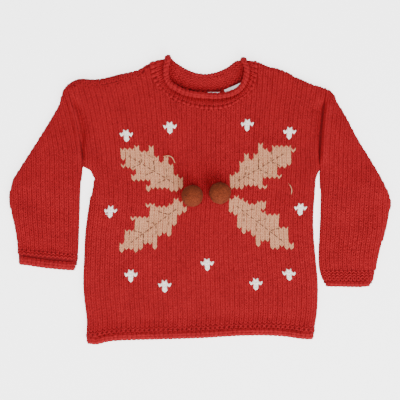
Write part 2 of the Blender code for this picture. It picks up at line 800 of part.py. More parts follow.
def make_collar(material):
    up = Vector((0.0, 0.0, 1.0))
    stations = neck_fold(NECK_FRONT[0], -1)
    stations += neck_stations(NECK_FRONT, FRONT_COLUMNS[1], up, front_base)
    stations += neck_fold(NECK_FRONT[-1], 1)
    stations += neck_stations(NECK_BACK, BACK_COLUMNS[1], -up, back_base)
    rings = [neck_section(base, roll, normal) for base, roll, normal in stations]
    linked_object("collar", ring_mesh("collar", rings), material)


def make_ball(name, x, y, material):
    """A felt ball with its sewn side flattened against the front."""
    radius = BALL_DIAMETER / 2
    work = bmesh.new()
    bmesh.ops.create_uvsphere(work, u_segments=BALL_SEGMENTS, v_segments=BALL_RINGS, radius=radius)
    floor = BALL_FLAT - radius
    for vertex in work.verts:
        vertex.co.z = max(vertex.co.z, floor)
        vertex.co *= MILLIMETRE
    mesh = bpy.data.meshes.new(name)
    work.to_mesh(mesh)
    work.free()
    mesh.shade_smooth()
    ball = linked_object(name, mesh, material)
    offsets = (-BALL_CONTACT, 0.0, BALL_CONTACT)
    seat = max(front_top(x + dx, y + dy) for dx in offsets for dy in offsets)
    ball.location = Vector((x, y, seat + SEAM_GAP - floor)) * MILLIMETRE


def make_label(name, x, y, degrees, width, length, material):
    """A thin label whose top edge is sewn along the back neck."""
    angle = math.radians(degrees)
    along = Vector((math.cos(angle), math.sin(angle), 0.0))
    down = Vector((math.sin(angle), -math.cos(angle), 0.0))
    start = Vector((x, y, WALL + SEAM_GAP))
    lower = [start, start + along * width, start + along * width + down * length, start + down * length]
    upper = [corner + Vector((0.0, 0.0, LABEL_THICKNESS)) for corner in lower]
    faces = [(0, 1, 2, 3), (7, 6, 5, 4)]
    faces += [(i, (i + 1) % 4, (i + 1) % 4 + 4, i + 4) for i in range(4)]
    linked_object(name, mesh_from(name, lower + upper, faces), material)


def build():
    for piece in list(bpy.data.objects):
        bpy.data.objects.remove(piece, do_unlink=True)
    wool = finish("red wool", linear(175, 40, 38), 0.9)
    felt = finish("brown felt", linear(139, 67, 39), 0.95)
    tape = finish("white label tape", linear(238, 234, 234), 0.6)

    make_panel("front", NECK_FRONT, FRONT_COLUMNS, FRONT_ROWS, FRONT_EDGE_ROWS, FOLD_LENGTH, True, wool)
    make_panel("back", NECK_BACK, BACK_COLUMNS, BACK_ROWS, BACK_EDGE_ROWS, BACK_EDGE_LENGTH, False, wool)
    make_sleeve("sleeve_left", SLEEVE_LEFT, ARMHOLE_LEFT, CUFF_LEFT_HALF[1], wool)
    make_sleeve("sleeve_right", SLEEVE_RIGHT, ARMHOLE_RIGHT, CUFF_RIGHT_HALF[1], wool)
    make_collar(wool)

    down = Vector((0.0, -1.0, 0.0))
    make_rolled_edge("hem_roll", HEM_LINE, HEM_HALF_WIDTH, HEM_HALF_HEIGHT, down, HEM_STEPS, wool)
    tilt = math.radians(CUFF_LEFT_TILT)
    tilted = Vector((-math.sin(tilt), -math.cos(tilt), 0.0))
    make_rolled_edge("cuff_roll_left", CUFF_LEFT_LINE, *CUFF_LEFT_HALF, tilted, CUFF_STEPS, wool)
    make_rolled_edge("cuff_roll_right", CUFF_RIGHT_LINE, *CUFF_RIGHT_HALF, down, CUFF_STEPS, wool)

    for name, place in BALL_PLACES.items():
        make_ball(name, *place, felt)
    for name, sizes in LABELS.items():
        make_label(name, *sizes, tape)


build()
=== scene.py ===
# %% [markdown]
# # A child's christmas sweater, laid flat
#
# The sweater is knitted in thick red wool and lies on its back, seen straight from above. Its front carries four
# pale holly leaves round two felt balls, and small white stars. The solids of the part give the size and the place
# of each panel. This lesson makes the cloth: a thin shell for each panel, and real stitches on top of it.
#
# Lengths are in millimetres here, and they become metres where a mesh is made. X runs to the right, Y towards the
# neck and Z up out of the front.

# %% The part and its tools
import math

import bpy
import numpy as np
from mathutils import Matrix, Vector


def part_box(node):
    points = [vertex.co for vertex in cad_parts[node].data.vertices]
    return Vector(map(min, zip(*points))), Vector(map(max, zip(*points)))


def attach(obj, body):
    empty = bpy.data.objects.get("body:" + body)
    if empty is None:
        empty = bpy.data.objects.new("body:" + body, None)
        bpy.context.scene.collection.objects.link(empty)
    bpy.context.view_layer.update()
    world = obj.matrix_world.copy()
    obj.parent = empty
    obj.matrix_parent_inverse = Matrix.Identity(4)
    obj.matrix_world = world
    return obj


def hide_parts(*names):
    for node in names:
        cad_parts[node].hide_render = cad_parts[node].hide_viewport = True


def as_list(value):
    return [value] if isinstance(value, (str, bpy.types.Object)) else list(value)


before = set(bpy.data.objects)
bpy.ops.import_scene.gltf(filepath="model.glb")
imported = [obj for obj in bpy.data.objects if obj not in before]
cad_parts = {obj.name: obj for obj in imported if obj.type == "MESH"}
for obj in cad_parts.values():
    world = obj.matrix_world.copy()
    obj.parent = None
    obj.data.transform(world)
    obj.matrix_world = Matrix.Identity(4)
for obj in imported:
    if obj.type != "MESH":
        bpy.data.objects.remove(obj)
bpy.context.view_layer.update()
MILLIMETRE = 0.001
print("Solids:", ", ".join(sorted(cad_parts)))

# %% [markdown]
# ## Camera
#
# Clothes are laid out flat and seen from straight above, so a camera that looks down the Z axis shows the true
# outline. A long lens keeps the near cloth from looking larger than the far cloth. The picture is 480 mm wide at
# the height of the side seams.

# %% Camera
PICTURE_WIDTH = 480.0
LENS = 85.0
SENSOR = 36.0
SEAM_HEIGHT = 4.1

camera_data = bpy.data.cameras.new("camera")
camera_data.lens = LENS
camera_data.sensor_width = SENSOR
camera = bpy.data.objects.new("camera", camera_data)
camera_height = PICTURE_WIDTH * LENS / SENSOR + SEAM_HEIGHT
camera.location = (0.0, 0.0, camera_height * MILLIMETRE)
bpy.context.scene.collection.objects.link(camera)
bpy.context.scene.camera = camera
print(f"Camera {camera_height:.0f} mm above the table")

# %% [markdown]
# ## Sizes of the garment
#
# The same tables shape the solids. A pattern cutter would call them the pattern: the sides, the armholes, the
# shoulders, the neckline, the sleeves and the rolled edges. Each row is one place on the outline.

# %% Pattern of the body
WALL = 3.0  # thickness of the knitted cloth
FOLD_REACH = 6.0  # plan depth over which a side of the flattened garment turns over
FOLD_LENGTH = FOLD_REACH * math.pi / 2
FOLD_EXTRA = FOLD_LENGTH - FOLD_REACH  # cloth that the fold takes up
SEAM_GAP = 0.3
FRONT_HEIGHT = 8.0
DEEPEST = 3.8  # a crease of the front stops where it meets the back
SLEEVE_HEIGHT = 8.2
ROLL_SLIT = 0.3
TUCK = 3.0  # the sheets run this far into the rolled edges
LAP = 1.2  # and this far under each other at the armholes, as a seam allowance does

# Sides of the body from the hem to the underarm: height, left x, right x.
BODY_SIDES = (
    (-166, -136.4, 136.8), (-150, -135.4, 137.5), (-137, -136.2, 139.8), (-118, -138.6, 141),
    (-97, -139.8, 141), (-65, -138.6, 137.9), (-41, -137.4, 136), (-20, -135, 135.6), (2, -131.3, 136.9),
    (16, -127.8, 137.8), (26, -126.6, 138.7),
)
# The small arch under each arm: height, x.
ARCH_LEFT = ((32.6, -129.2), (37.4, -133.4))
ARCH_RIGHT = ((30.4, 140.6),)
# Armhole seams: foot x, foot y, tip x, tip y, and how far the middle bows towards the body.
ARMHOLE_LEFT = (-139.6, 39.6, -160.0, 136.5, 3.4)
ARMHOLE_RIGHT = (143.2, 34.8, 151.5, 133.3, -2.2)
# Upper outline over the shoulders and the sides of the neck: x, y.
SHOULDER_OUTLINE = (
    (-160, 136.6), (-152, 142.4), (-143, 145), (-127, 144.1), (-112.6, 146.2), (-96, 150.4), (-75, 155.4),
    (-66, 160.2), (-54.4, 168), (-45, 172), (-37, 174), (8, 175), (54, 172), (62.9, 167.4), (74.3, 162.8),
    (82, 159.6), (99, 155.2), (117, 145.8), (126, 141.9), (138.6, 136.9), (151.5, 133.4),
)
# How far the back comes forward over the left shoulder: x, depth.
SHOULDER_WRAP = ((-160, 2.5), (-146, 6), (-123, 8.2), (-104, 8.8), (-88, 7.8), (-76, 6.2), (-69, 3.2), (-63.5, 0))
print(f"Chest {BODY_SIDES[-1][2] - BODY_SIDES[-1][1]:.0f} mm across")

# %% Pattern of the neckband
# x and y on the neckline, x and y below the middle of the roll, height of the roll's inner side.
NECK_FRONT = (
    (-58.6, 162.2, -37.8, 168.4, 7), (-57.8, 150, -40.6, 157.6, 6.7), (-53.8, 140, -40.2, 148, 6.2),
    (-41, 126.8, -35.2, 138.6, 5.6), (-27, 118.4, -21.8, 130.4, 5.1), (-12, 112.4, -8.6, 126.7, 4.8),
    (6, 109.2, 7, 125, 4.7), (22, 109.2, 21.4, 124.7, 4.7), (36, 112.2, 34, 126.4, 4.8),
    (46.4, 118.6, 43.4, 130.2, 5.1), (56.8, 126.6, 50, 136.2, 5.5), (63.4, 135, 53.6, 143.4, 6),
    (67, 144.5, 55.4, 151, 6.4), (68.2, 153.5, 55.4, 158.6, 6.8), (67.8, 163, 51.8, 165.8, 7),
)
NECK_BACK = (
    (67.8, 163, 51.8, 165.8, 6), (60, 153.4, 45.8, 164.2, 6), (48, 143.8, 36.8, 157.2, 6),
    (33.6, 136.4, 26.8, 151.8, 6), (20, 132.4, 17.6, 148.8, 6), (5, 131.2, 6, 147.2, 6),
    (-8, 132.4, -6, 148.8, 6), (-22, 136, -17.2, 153.2, 6), (-38, 143.2, -27.6, 159.2, 6),
    (-51, 152.4, -33.6, 163.8, 6), (-58.6, 162.2, -37.8, 168.4, 6),
)
NECK_ROLL_HALF = (4.2, 3.0)
NECK_FOLD_RADIUS = 0.5
NECK_FOLD_ROLL = 6.5
NECK_LEAN = (-1.1, 0.8)  # the ends of the neckline lean out where they climb over the fold
print(f"Neckband: {len(NECK_FRONT) + len(NECK_BACK)} places round the neck")

# %% Pattern of the hem, the sleeves and the cuffs
# Centre line of the rolled hem: x, y.
HEM_LINE = (
    (-130.2, -168.4), (-123, -168.9), (-112, -165.9), (-95, -164.1), (-59, -163), (1, -161.2), (49, -158.4),
    (79, -158.2), (103, -159.6), (121, -162.2), (130.6, -162.6),
)
HEM_HALF = (4.5, 3.0)
HEM_RISE = 16.0
# Sleeves from the armhole to the cuff: outer x, outer y, inner x, inner y.
SLEEVE_LEFT = (
    (-160, 136.5, -139.6, 39.6), (-164.6, 129, -141.6, 35.4), (-168.4, 114, -142.6, 27.5),
    (-176, 100.5, -143, 19.5), (-187, 82, -143.4, 10), (-200, 62, -144, -1), (-213, 41.5, -144.4, -14),
    (-224, 23, -144.9, -27), (-227.9, 6, -145.3, -39), (-226.5, -13, -145.7, -49), (-222, -31, -146, -57.5),
    (-218.6, -50, -146.6, -66), (-217.6, -67.9, -147.4, -74.9),
)
SLEEVE_RIGHT = (
    (151.5, 133.3, 143.2, 34.8), (158.8, 128, 144, 27.5), (165, 115, 144.5, 17.5), (173.5, 101.5, 144.7, 7),
    (183.5, 82, 144.7, -4), (195.5, 61.5, 144.6, -16), (208.5, 40.5, 144.1, -29), (220.5, 19, 143.5, -42),
    (227.9, 1, 142.8, -53), (226, -19, 142.3, -64), (220.5, -41, 142.3, -75), (214.6, -64, 143.2, -84),
    (209.2, -86, 146, -91.6), (206.4, -97, 148.6, -96.8),
)
# Rolled cuffs: x and y of the roll's centre line, then half its width and height.
CUFF_LEFT_LINE = ((-211.6, -73.7), (-203.0, -74.7), (-189.0, -76.9), (-166.0, -79.3), (-154.6, -80.0))
CUFF_RIGHT_LINE = ((199.6, -100.9), (190.0, -101.6), (177.0, -101.4), (164.0, -101.0), (154.8, -100.9))
CUFF_LEFT_HALF = (4.7, 3.0)
CUFF_RIGHT_HALF = (3.4, 2.5)
CUFF_RISE = 16.0
for side, rows in (("left", SLEEVE_LEFT), ("right", SLEEVE_RIGHT)):
    print(f"The {side} sleeve is {rows[0][1] - rows[-1][1]:.0f} mm long")

# %% [markdown]
# ## Creases
#
# Cloth that has been worn and laid down is never quite flat. It sinks beside the armholes, lifts along the folded
# sides and buckles softly under the arms. Each row below is one soft ridge or trough: where it starts and ends,
# half its width and its height. Negative heights are troughs. They differ from side to side, as they do on a real
# garment.

# %% Creases
FRONT_CREASES = (
    (134.6, 130, 135.4, 110, 4, -1.8), (141.5, 129, 142, 118, 4.5, 0.9), (118, 140, 111, 96, 9, 0.6),
    (-118, 24, -74, -6, 12, 0.6), (128, 22, 96, -18, 13, 0.7), (-112, -118, -96, -40, 12, -0.5),
    (104, -132, 98, -60, 13, 0.6), (-30, -140, -22, -96, 16, 0.5), (-96, 138, -84, 112, 10, -0.5),
)
SLEEVE_CREASES = (
    (-165, 118, -147, 56, 6, 0.8), (-208, 34, -176, 8, 9, 0.6), (-212, 2, -168, -14, 9, -0.8),
    (-196, -46, -162, -60, 8, 0.5), (158, 118, 150.5, 48, 6, 1.3), (206, 26, 178, 0, 9, 0.7),
    (216, -8, 170, -30, 9, -0.8), (188, -56, 158, -74, 8, 0.5),
)
# Finer ones, too small for the solids.
FINE_CREASES = (
    (-122, 10, -96, -2, 5, 0.5), (-124, -6, -90, -22, 6, -0.4), (130, 4, 104, -10, 5, 0.5),
    (126, -14, 92, -34, 7, -0.4), (-60, 120, -46, 92, 7, 0.4), (70, 122, 84, 90, 8, 0.4),
    (-110, 96, -92, 60, 9, -0.4), (60, -150, 66, -110, 8, -0.4), (-80, -152, -72, -118, 8, 0.4),
    (12, -120, 40, -150, 9, -0.3), (-206, 20, -186, 28, 5, 0.4), (-220, -20, -186, -28, 5, 0.4),
    (-190, 50, -160, 30, 7, -0.4), (214, 12, 192, 20, 5, 0.4), (218, -34, 186, -44, 5, 0.4),
    (190, 40, 162, 18, 7, -0.4),
)
print(f"{len(FRONT_CREASES) + len(SLEEVE_CREASES) + len(FINE_CREASES)} creases")

# %% [markdown]
# ## From a short table to a smooth line
#
# A short table of places is easy to check, but the cloth has to follow a smooth line through them. The curve below
# passes through every row, and its direction at a row is that of the two rows beside it.


# %% Smooth lines through a table
def smooth_step(low, high, value):
    """0 before low, 1 past high, and a soft climb between them."""
    share = np.clip((value - low) / (high - low), 0.0, 1.0)
    return share * share * (3 - 2 * share)


def bell(away, half):
    """1 on the middle line of a ridge, fading out over its half width."""
    return np.exp(-((away / half) ** 2))


def smooth_curve(knots, places):
    """Rows of numbers at any places along a table, whose rows start with their place."""
    knots = np.array(knots, float)
    at, rows = knots[:, 0], knots[:, 1:]
    index = np.arange(len(at))
    before, after = np.maximum(index - 1, 0), np.minimum(index + 1, len(at) - 1)
    slopes = (rows[after] - rows[before]) / (at[after] - at[before])[:, None]
    places = np.clip(np.asarray(places, float), at[0], at[-1])
    low = np.clip(np.searchsorted(at, places, side="right") - 1, 0, len(at) - 2)
    span = (at[low + 1] - at[low])[..., None]
    share = (places - at[low])[..., None] / span
    square, cube = share**2, share**3
    start = (2 * cube - 3 * square + 1) * rows[low] + (cube - 2 * square + share) * span * slopes[low]
    end = (3 * square - 2 * cube) * rows[low + 1] + (cube - square) * span * slopes[low + 1]
    return start + end


def smooth_value(knots, places):
    return smooth_curve(knots, places)[..., 0]


UP = np.array((0.0, 0.0, 1.0))


def unit(rows):
    return rows / np.linalg.norm(rows, axis=-1, keepdims=True)


def way_along(points):
    """Distance from the first of a row of points to each of them."""
    steps = np.linalg.norm(np.diff(points, axis=0), axis=1)
    return np.concatenate([[0.0], np.cumsum(steps)])


def along_rows(rows):
    """The rows of a table, each led by its share of the way along its first two columns."""
    rows = np.array(rows, float)
    way = way_along(rows[:, :2])
    return np.column_stack([way / way[-1], rows])


hem_fine = smooth_curve(along_rows(HEM_LINE), np.linspace(0, 1, 200))
print(f"The hem is {way_along(hem_fine)[-1]:.0f} mm long on the front")

# %% [markdown]
# ## Flat cloth turned over an edge
#
# A laid-out garment is a flattened tube. Near a side the cloth runs over a soft fold and down to the seam. It is
# easiest to lay the stitches out on flat cloth first, and then to turn whatever lies near an edge over a quarter
# circle. That needs the distance from each point to the edge, and the nearest spot on it.


# %% Distance to an edge, and the fold
def to_line(points, line):
    """Distance to a line, positive on the left of its run, with the nearest spot and the way inwards."""
    start, run = line[:-1], np.diff(line, axis=0)
    away = points[:, None] - start
    share = np.clip((away * run).sum(-1) / (run * run).sum(-1), 0.0, 1.0)
    gap = away - share[..., None] * run
    size = np.hypot(gap[..., 0], gap[..., 1])
    best = size.argmin(1)
    rows = np.arange(len(points))
    size, gap, run = size[rows, best], gap[rows, best], run[best]
    side = np.where(run[:, 0] * gap[:, 1] - run[:, 1] * gap[:, 0] < 0, -1.0, 1.0)
    straight = np.column_stack([-run[:, 1], run[:, 0]]) / np.hypot(run[:, 0], run[:, 1])[:, None]
    far = size > 0.05
    inward = np.where(far[:, None], gap * (side / np.maximum(size, 0.05))[:, None], straight)
    return size * side, points - gap, inward


def turn_over(flat, edges):
    """Plan places of flat cloth turned over its edges, and the share of the full height that is left."""
    plan, share = flat.copy(), np.ones(len(flat))
    for edge in edges:
        gap, spot, inward = to_line(plan, edge)
        way = gap + FOLD_EXTRA
        turn = np.clip(way / FOLD_REACH, 0.0, math.pi / 2)
        near = way < FOLD_LENGTH
        folded = spot + inward * (FOLD_REACH * (1 - np.cos(turn)))[:, None]
        plan = np.where(near[:, None], folded, plan)
        share = share * np.where(near, np.sin(turn), 1.0)
    return plan, share


def way_to(depth):
    """Way along the cloth from the outline to a plan depth."""
    turn = np.arccos(1 - np.clip(depth / FOLD_REACH, 0.0, 1.0))
    return FOLD_REACH * turn + np.maximum(depth - FOLD_REACH, 0.0)


def creases(table, plan):
    """Height that all the creases of a table add at each place."""
    total = np.zeros(len(plan))
    for start_x, start_y, end_x, end_y, width, height in table:
        total += height * bell(to_line(plan, np.array([(start_x, start_y), (end_x, end_y)]))[0], width)
    return total


print(f"A fold reaches {FOLD_REACH:.0f} mm in from the edge and takes up {FOLD_LENGTH:.1f} mm of cloth")

# %% [markdown]
# ## The body as a height map
#
# With the sides, the shoulder line and the creases known, the front is a height over each point of the plan. The
# hem end rises to meet the rolled hem. A soft ridge beside the left armhole drops into a trough, and the right
# sleeve puffs up beside a deep crease, because the sleeves were laid down differently.


# %% Sides and outline of the body
def sewn_side(knots, armhole, gap):
    """x of a side at any height: through its knots up to the underarm, then along the armhole seam."""
    foot_x, foot_y, tip_x, tip_y, bow = armhole

    def x_at(y):
        share = (y - foot_y) / (tip_y - foot_y)
        seam = foot_x + (tip_x - foot_x) * share + 4 * bow * share * (1 - share) + gap
        return np.where(y < foot_y, smooth_value(knots, y), seam)

    return x_at


def body_side(column, arch, armhole):
    """One side of the body: the folded side, the arch under the arm, and the armhole."""
    gap = math.copysign(SEAM_GAP / 2, -armhole[0])
    knots = [(row[0], row[column]) for row in BODY_SIDES]
    return sewn_side([*knots, *arch, (armhole[1], armhole[0] + gap)], armhole, gap)


left_x = body_side(1, ARCH_LEFT, ARMHOLE_LEFT)
right_x = body_side(2, ARCH_RIGHT, ARMHOLE_RIGHT)


def edge_line(x_at, low, high, step=3.0):
    heights = np.linspace(low, high, int(abs(high - low) / step) + 2)
    return np.column_stack([x_at(heights), heights])


def outline_y(x):
    """Height of the upper outline, over the shoulders and the sides of the neck."""
    return smooth_value(SHOULDER_OUTLINE, x)


outline_x = np.linspace(SHOULDER_OUTLINE[-1][0], SHOULDER_OUTLINE[0][0], 120)
outline_line = np.column_stack([outline_x, outline_y(outline_x)])
left_line = edge_line(left_x, ARMHOLE_LEFT[1], -166.0)
right_line = edge_line(right_x, -166.0, ARMHOLE_RIGHT[1])
body_edges = (left_line, right_line, outline_line)
left_armhole = edge_line(left_x, ARMHOLE_LEFT[1], ARMHOLE_LEFT[3])
right_armhole = edge_line(right_x, ARMHOLE_RIGHT[3], ARMHOLE_RIGHT[1])
print(f"Outline: {len(left_line)} + {len(right_line)} + {len(outline_line)} points")


# %% Heights of the front
def hem_edge(x):
    """Where the panels end above the rolled hem."""
    return smooth_value(HEM_LINE, x) + HEM_HALF[0] + SEAM_GAP


# The folds across the armholes: height, then how far inside the seam the lowest line lies.
LEFT_FOLD = ((30.0, -0.5), (60.0, 0.2), (77.0, 1.9), (100.0, 3.6), (112.0, 2.6), (140.0, 2.0))
FOLD_START = (34.0, 54.0)  # the folds grow between these heights above the underarm
SEWING_STEP = 4.2
SIDE_LIFT = 1.1


def sewing(away, y):
    """The line of sewing along a seam, drawn in at every stitch."""
    return (0.7 + 0.4 * np.sin(2 * math.pi * y / SEWING_STEP)) * bell(away, 0.9)


def left_fold(inside, y):
    """A soft ridge runs along the left seam and drops steeply into a trough on the body."""
    away = inside - smooth_value(LEFT_FOLD, y)
    reach = np.where(away < 0, 1.3, 4.0 + 6.0 * smooth_step(66.0, 92.0, y))
    relief = 2.8 * bell(away + 3.4, 2.2) - 4.8 * bell(away, reach)
    seam = -1.2 * sewing(away + 7.6, y) * smooth_step(76.0, 86.0, y)
    return (relief * (1 - smooth_step(110.0, 128.0, y)) + seam) * smooth_step(*FOLD_START, y)


def right_fold(inside, y):
    """The right sleeve puffs up beside a deep crease, into which the body slopes down."""
    reach = np.where(inside < 0, 2.4, 3.2 + 2.2 * smooth_step(60.0, 90.0, y))
    slope = (inside > 0) * smooth_step(52.0, 88.0, y) * (1 - bell(inside, 3.0)) * bell(inside, 15.0)
    relief = 3.0 * bell(inside + 5.0, 3.4) - 3.8 * bell(inside, reach) - 3.0 * slope
    seam = -0.9 * sewing(inside + 6.0, y) * (1 - smooth_step(124.0, 134.0, y))
    return (relief * (1 - smooth_step(108.0, 124.0, y)) + seam) * smooth_step(*FOLD_START, y)


def armhole_folds(plan):
    """The folds beside both seams on the body, whose edge runs under the sleeve's."""
    y, total = plan[:, 1], 0.0
    for armhole, fold in ((left_armhole, left_fold), (right_armhole, right_fold)):
        inside = -to_line(plan, armhole)[0]
        total = total + fold(inside, y) - smooth_step(0.1, -1.0, inside) * smooth_step(34.0, 42.0, y)
    return total


def front_top(plan):
    """Height of the front, at the tops of its stitches."""
    x, y = plan[:, 0], plan[:, 1]
    rise = 3 * HEM_HALF[1] + ROLL_SLIT + WALL / 2 - FRONT_HEIGHT
    near_hem = 1 - smooth_step(0, HEM_RISE, y - hem_edge(x))
    inside = np.min([np.abs(to_line(plan, line)[0]) for line in (left_line, right_line)], axis=0)
    lift = SIDE_LIFT * bell(inside - 10.0, 6.0)
    relief = creases(FRONT_CREASES + FINE_CREASES, plan) + armhole_folds(plan)
    height = FRONT_HEIGHT + rise * near_hem + lift + relief * (1 - near_hem)
    return np.where(height > DEEPEST, height, DEEPEST + 0.15 * (height - DEEPEST))


def front_surface(flat, sink=0.0):
    """Flat cloth of the front as it lies, sunk a little below the tops of the stitches."""
    plan, share = turn_over(flat, body_edges)
    seam = SEAM_HEIGHT + SEAM_GAP / 2
    return np.column_stack([plan, seam + (front_top(plan) - sink - seam) * share])


middle = front_surface(np.array([(0.0, 0.0)]))[0]
print(f"The front is {middle[2]:.1f} mm above the table in the middle")

# %% [markdown]
# ## Edges of the front panel
#
# The top of the panel is the shoulder seam at each side and the neckline between them. On the left shoulder the
# back comes forward, so the seam lies a few millimetres down on the front.


# %% Top edge of the panels
def folded_side(y, foot):
    """1 beside the folded side, 0 beside the armhole."""
    return 1 - smooth_step(foot - 2, foot + 8, y)


def widened(x_at, y, way, share):
    """Where the flat cloth ends beside a folded edge, before it is turned over."""
    slope = x_at(y + 0.5) - x_at(y - 0.5)
    return x_at(y) + way * FOLD_EXTRA * np.sqrt(1 + slope**2) * share


def body_width(y):
    left = widened(left_x, y, -1, folded_side(y, ARMHOLE_LEFT[1]))
    right = widened(right_x, y, 1, folded_side(y, ARMHOLE_RIGHT[1]))
    return left, right


def neckline(rows):
    """The neckline from left to right, out to the shoulder outline at both ends."""
    points = smooth_curve(along_rows(rows), np.linspace(0, 1, 90))[:, :2]
    points = points[np.argsort(points[:, 0])]
    low = points[:, 1].argmin()
    for side in (points[low:], points[low::-1]):
        side[:, 1] = np.maximum.accumulate(side[:, 1])  # the line only climbs towards the shoulders
    ends = (points[0][0] + NECK_LEAN[0], points[-1][0] + NECK_LEAN[1])
    first, last = ((x, float(outline_y(x))) for x in ends)
    return np.array([first, *points, last])


def shoulder_wrap(x):
    return np.where(x > SHOULDER_WRAP[-1][0], 0.0, smooth_value(SHOULDER_WRAP, x))


def top_edge(x, neck, front):
    """Height on the flat cloth at which a panel ends, above any x."""
    outline = outline_y(x)
    wrap = shoulder_wrap(x) * front
    shoulder = np.where(wrap > 0, wrap + SEAM_GAP / 2, 0.0)
    in_neck = (x > neck[0][0]) & (x < neck[-1][0])
    depth = np.where(in_neck, outline - np.interp(x, neck[:, 0], neck[:, 1]), shoulder)
    return outline + FOLD_EXTRA - way_to(np.maximum(depth, 0.0))


front_neck, back_neck = neckline(NECK_FRONT), neckline(NECK_BACK)
print(f"Front neckline {way_along(front_neck)[-1]:.0f} mm, back neckline {way_along(back_neck)[-1]:.0f} mm")


# %% Grid of a body panel on flat cloth
CALM_TOP = 70.0  # up to this height the inner columns pass the underarm in a straight line


def panel_grid(neck, front, columns=(32, 56, 32), rows=96):
    """Flat points of a panel, column by column from left to right and row by row upwards."""
    tips = (ARMHOLE_LEFT[2] + SEAM_GAP, ARMHOLE_RIGHT[2] - SEAM_GAP)
    neck_way = way_along(neck)
    round_neck = 0.85 * np.interp(np.linspace(0, neck_way[-1], columns[1] + 1), neck_way, neck[:, 0])
    round_neck += 0.15 * np.linspace(neck[0][0], neck[-1][0], columns[1] + 1)
    left = tips[0] + (neck[0][0] - tips[0]) * np.linspace(0, 1, columns[0] + 1)[:-1] ** 1.3  # closer at the armholes
    right = tips[1] + (neck[-1][0] - tips[1]) * np.linspace(1, 0, columns[2] + 1)[1:] ** 1.3
    top_x = np.concatenate([left, round_neck, right])
    top_y = top_edge(top_x, neck, front)
    tip_y = ARMHOLE_LEFT[3]  # above the armholes the sides of the grid go straight up
    low, high = body_width(np.minimum(top_y, tip_y))
    high_share = np.clip((top_x - low) / (high - low), 0.0, 1.0)
    low_share = 0.8 * high_share + 0.2 * np.linspace(0, 1, len(top_x))  # nearly upright columns never cross
    start_left, start_right = body_width(np.full(len(top_x), hem_fine[:, 1].mean()))
    bottom = hem_edge(start_left + (start_right - start_left) * low_share) - TUCK
    up = np.linspace(0, 1, rows + 1)
    y = bottom[:, None] + (top_y - bottom)[:, None] * up
    low, high = body_width(np.minimum(y, tip_y))
    near_arm = (y > 0.0) & (y < CALM_TOP)
    calm_low, calm_high = (
        np.where(near_arm, start + (end - start) * y / CALM_TOP, side)
        for start, end, side in zip(body_width(0.0), body_width(CALM_TOP), (low, high))
    )
    low = low - LAP * (1 - folded_side(y, ARMHOLE_LEFT[1]))
    high = high + LAP * (1 - folded_side(y, ARMHOLE_RIGHT[1]))
    share = low_share[:, None] + (high_share - low_share)[:, None] * up
    x = calm_low + (calm_high - calm_low) * share
    x += (low - calm_low) * (1 - share) ** 6 + (high - calm_high) * share**6
    return np.stack([x, y], -1)


front_flat = panel_grid(front_neck, True)
print(f"Front: {front_flat.shape[0]} columns of {front_flat.shape[1]} points")

# %% [markdown]
# ## Meshes
#
# Each piece of cloth becomes a sheet of quads with a little thickness. Its picture map is laid out from above, so
# that colour and fibre detail keep their scale.


# %% Mesh helpers
def new_object(name, points, faces, material):
    """A smooth mesh from points in millimetres, with a picture map seen from above."""
    mesh = bpy.data.meshes.new(name)
    points = np.asarray(points, float).reshape(-1, 3)
    mesh.from_pydata((points * MILLIMETRE).tolist(), [], np.asarray(faces).tolist())
    low, size = points.min(0)[:2], np.ptp(points, axis=0)[:2].max()
    corner = np.empty(len(mesh.loops), dtype=np.int64)
    mesh.loops.foreach_get("vertex_index", corner)
    layer = mesh.uv_layers.new(name="OFBake")
    layer.data.foreach_set("uv", ((points[corner, :2] - low) / size).ravel())
    mesh.shade_smooth()
    mesh.materials.append(material)
    piece = bpy.data.objects.new(name, mesh)
    bpy.context.scene.collection.objects.link(piece)
    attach(piece, "root")
    return piece


def grid_faces(columns, rows, start=0, close=False, tube=False):
    """Quads of a grid. Close joins its last column to the first one, and tube its last row to the first one."""
    i, j = np.meshgrid(np.arange(columns - (not close)), np.arange(rows - (not tube)), indexing="ij")
    after, up = (i + 1) % columns, (j + 1) % rows
    quads = np.stack([i * rows + j, after * rows + j, after * rows + up, i * rows + up], -1)
    return start + quads.reshape(-1, 4)


print("Mesh helpers ready")

# %% [markdown]
# ## Wool, felt and tape
#
# Wool yarn is matt and a little hairy. Its colour changes softly over the garment, because the dye never takes
# quite evenly, and finely along the yarn, where loose fibres catch the light. A slow noise and a fine noise give
# both. The fine noise also roughens the surface. The felt is mottled and much darker in places, and the tape is
# plain.


# %% Finishes
FINE_SHARE = 0.82  # the fine noise counts for this much in the colour
RAMP_ENDS = (0.34, 0.66)


def display(*colour):
    """Scene-linear colour of a display colour given in 0 to 255."""
    parts = np.array(colour, float) / 255
    parts = np.where(parts <= 0.04045, parts / 12.92, ((parts + 0.055) / 1.055) ** 2.4)
    return (*parts.tolist(), 1.0)


def finish_with(name, sockets):
    """A new finish and its shader, whose sockets are set."""
    finish = bpy.data.materials.new(name)
    finish.use_nodes = True
    shader = finish.node_tree.nodes["Principled BSDF"]
    for socket, value in sockets.items():
        shader.inputs[socket].default_value = value
    return finish, shader


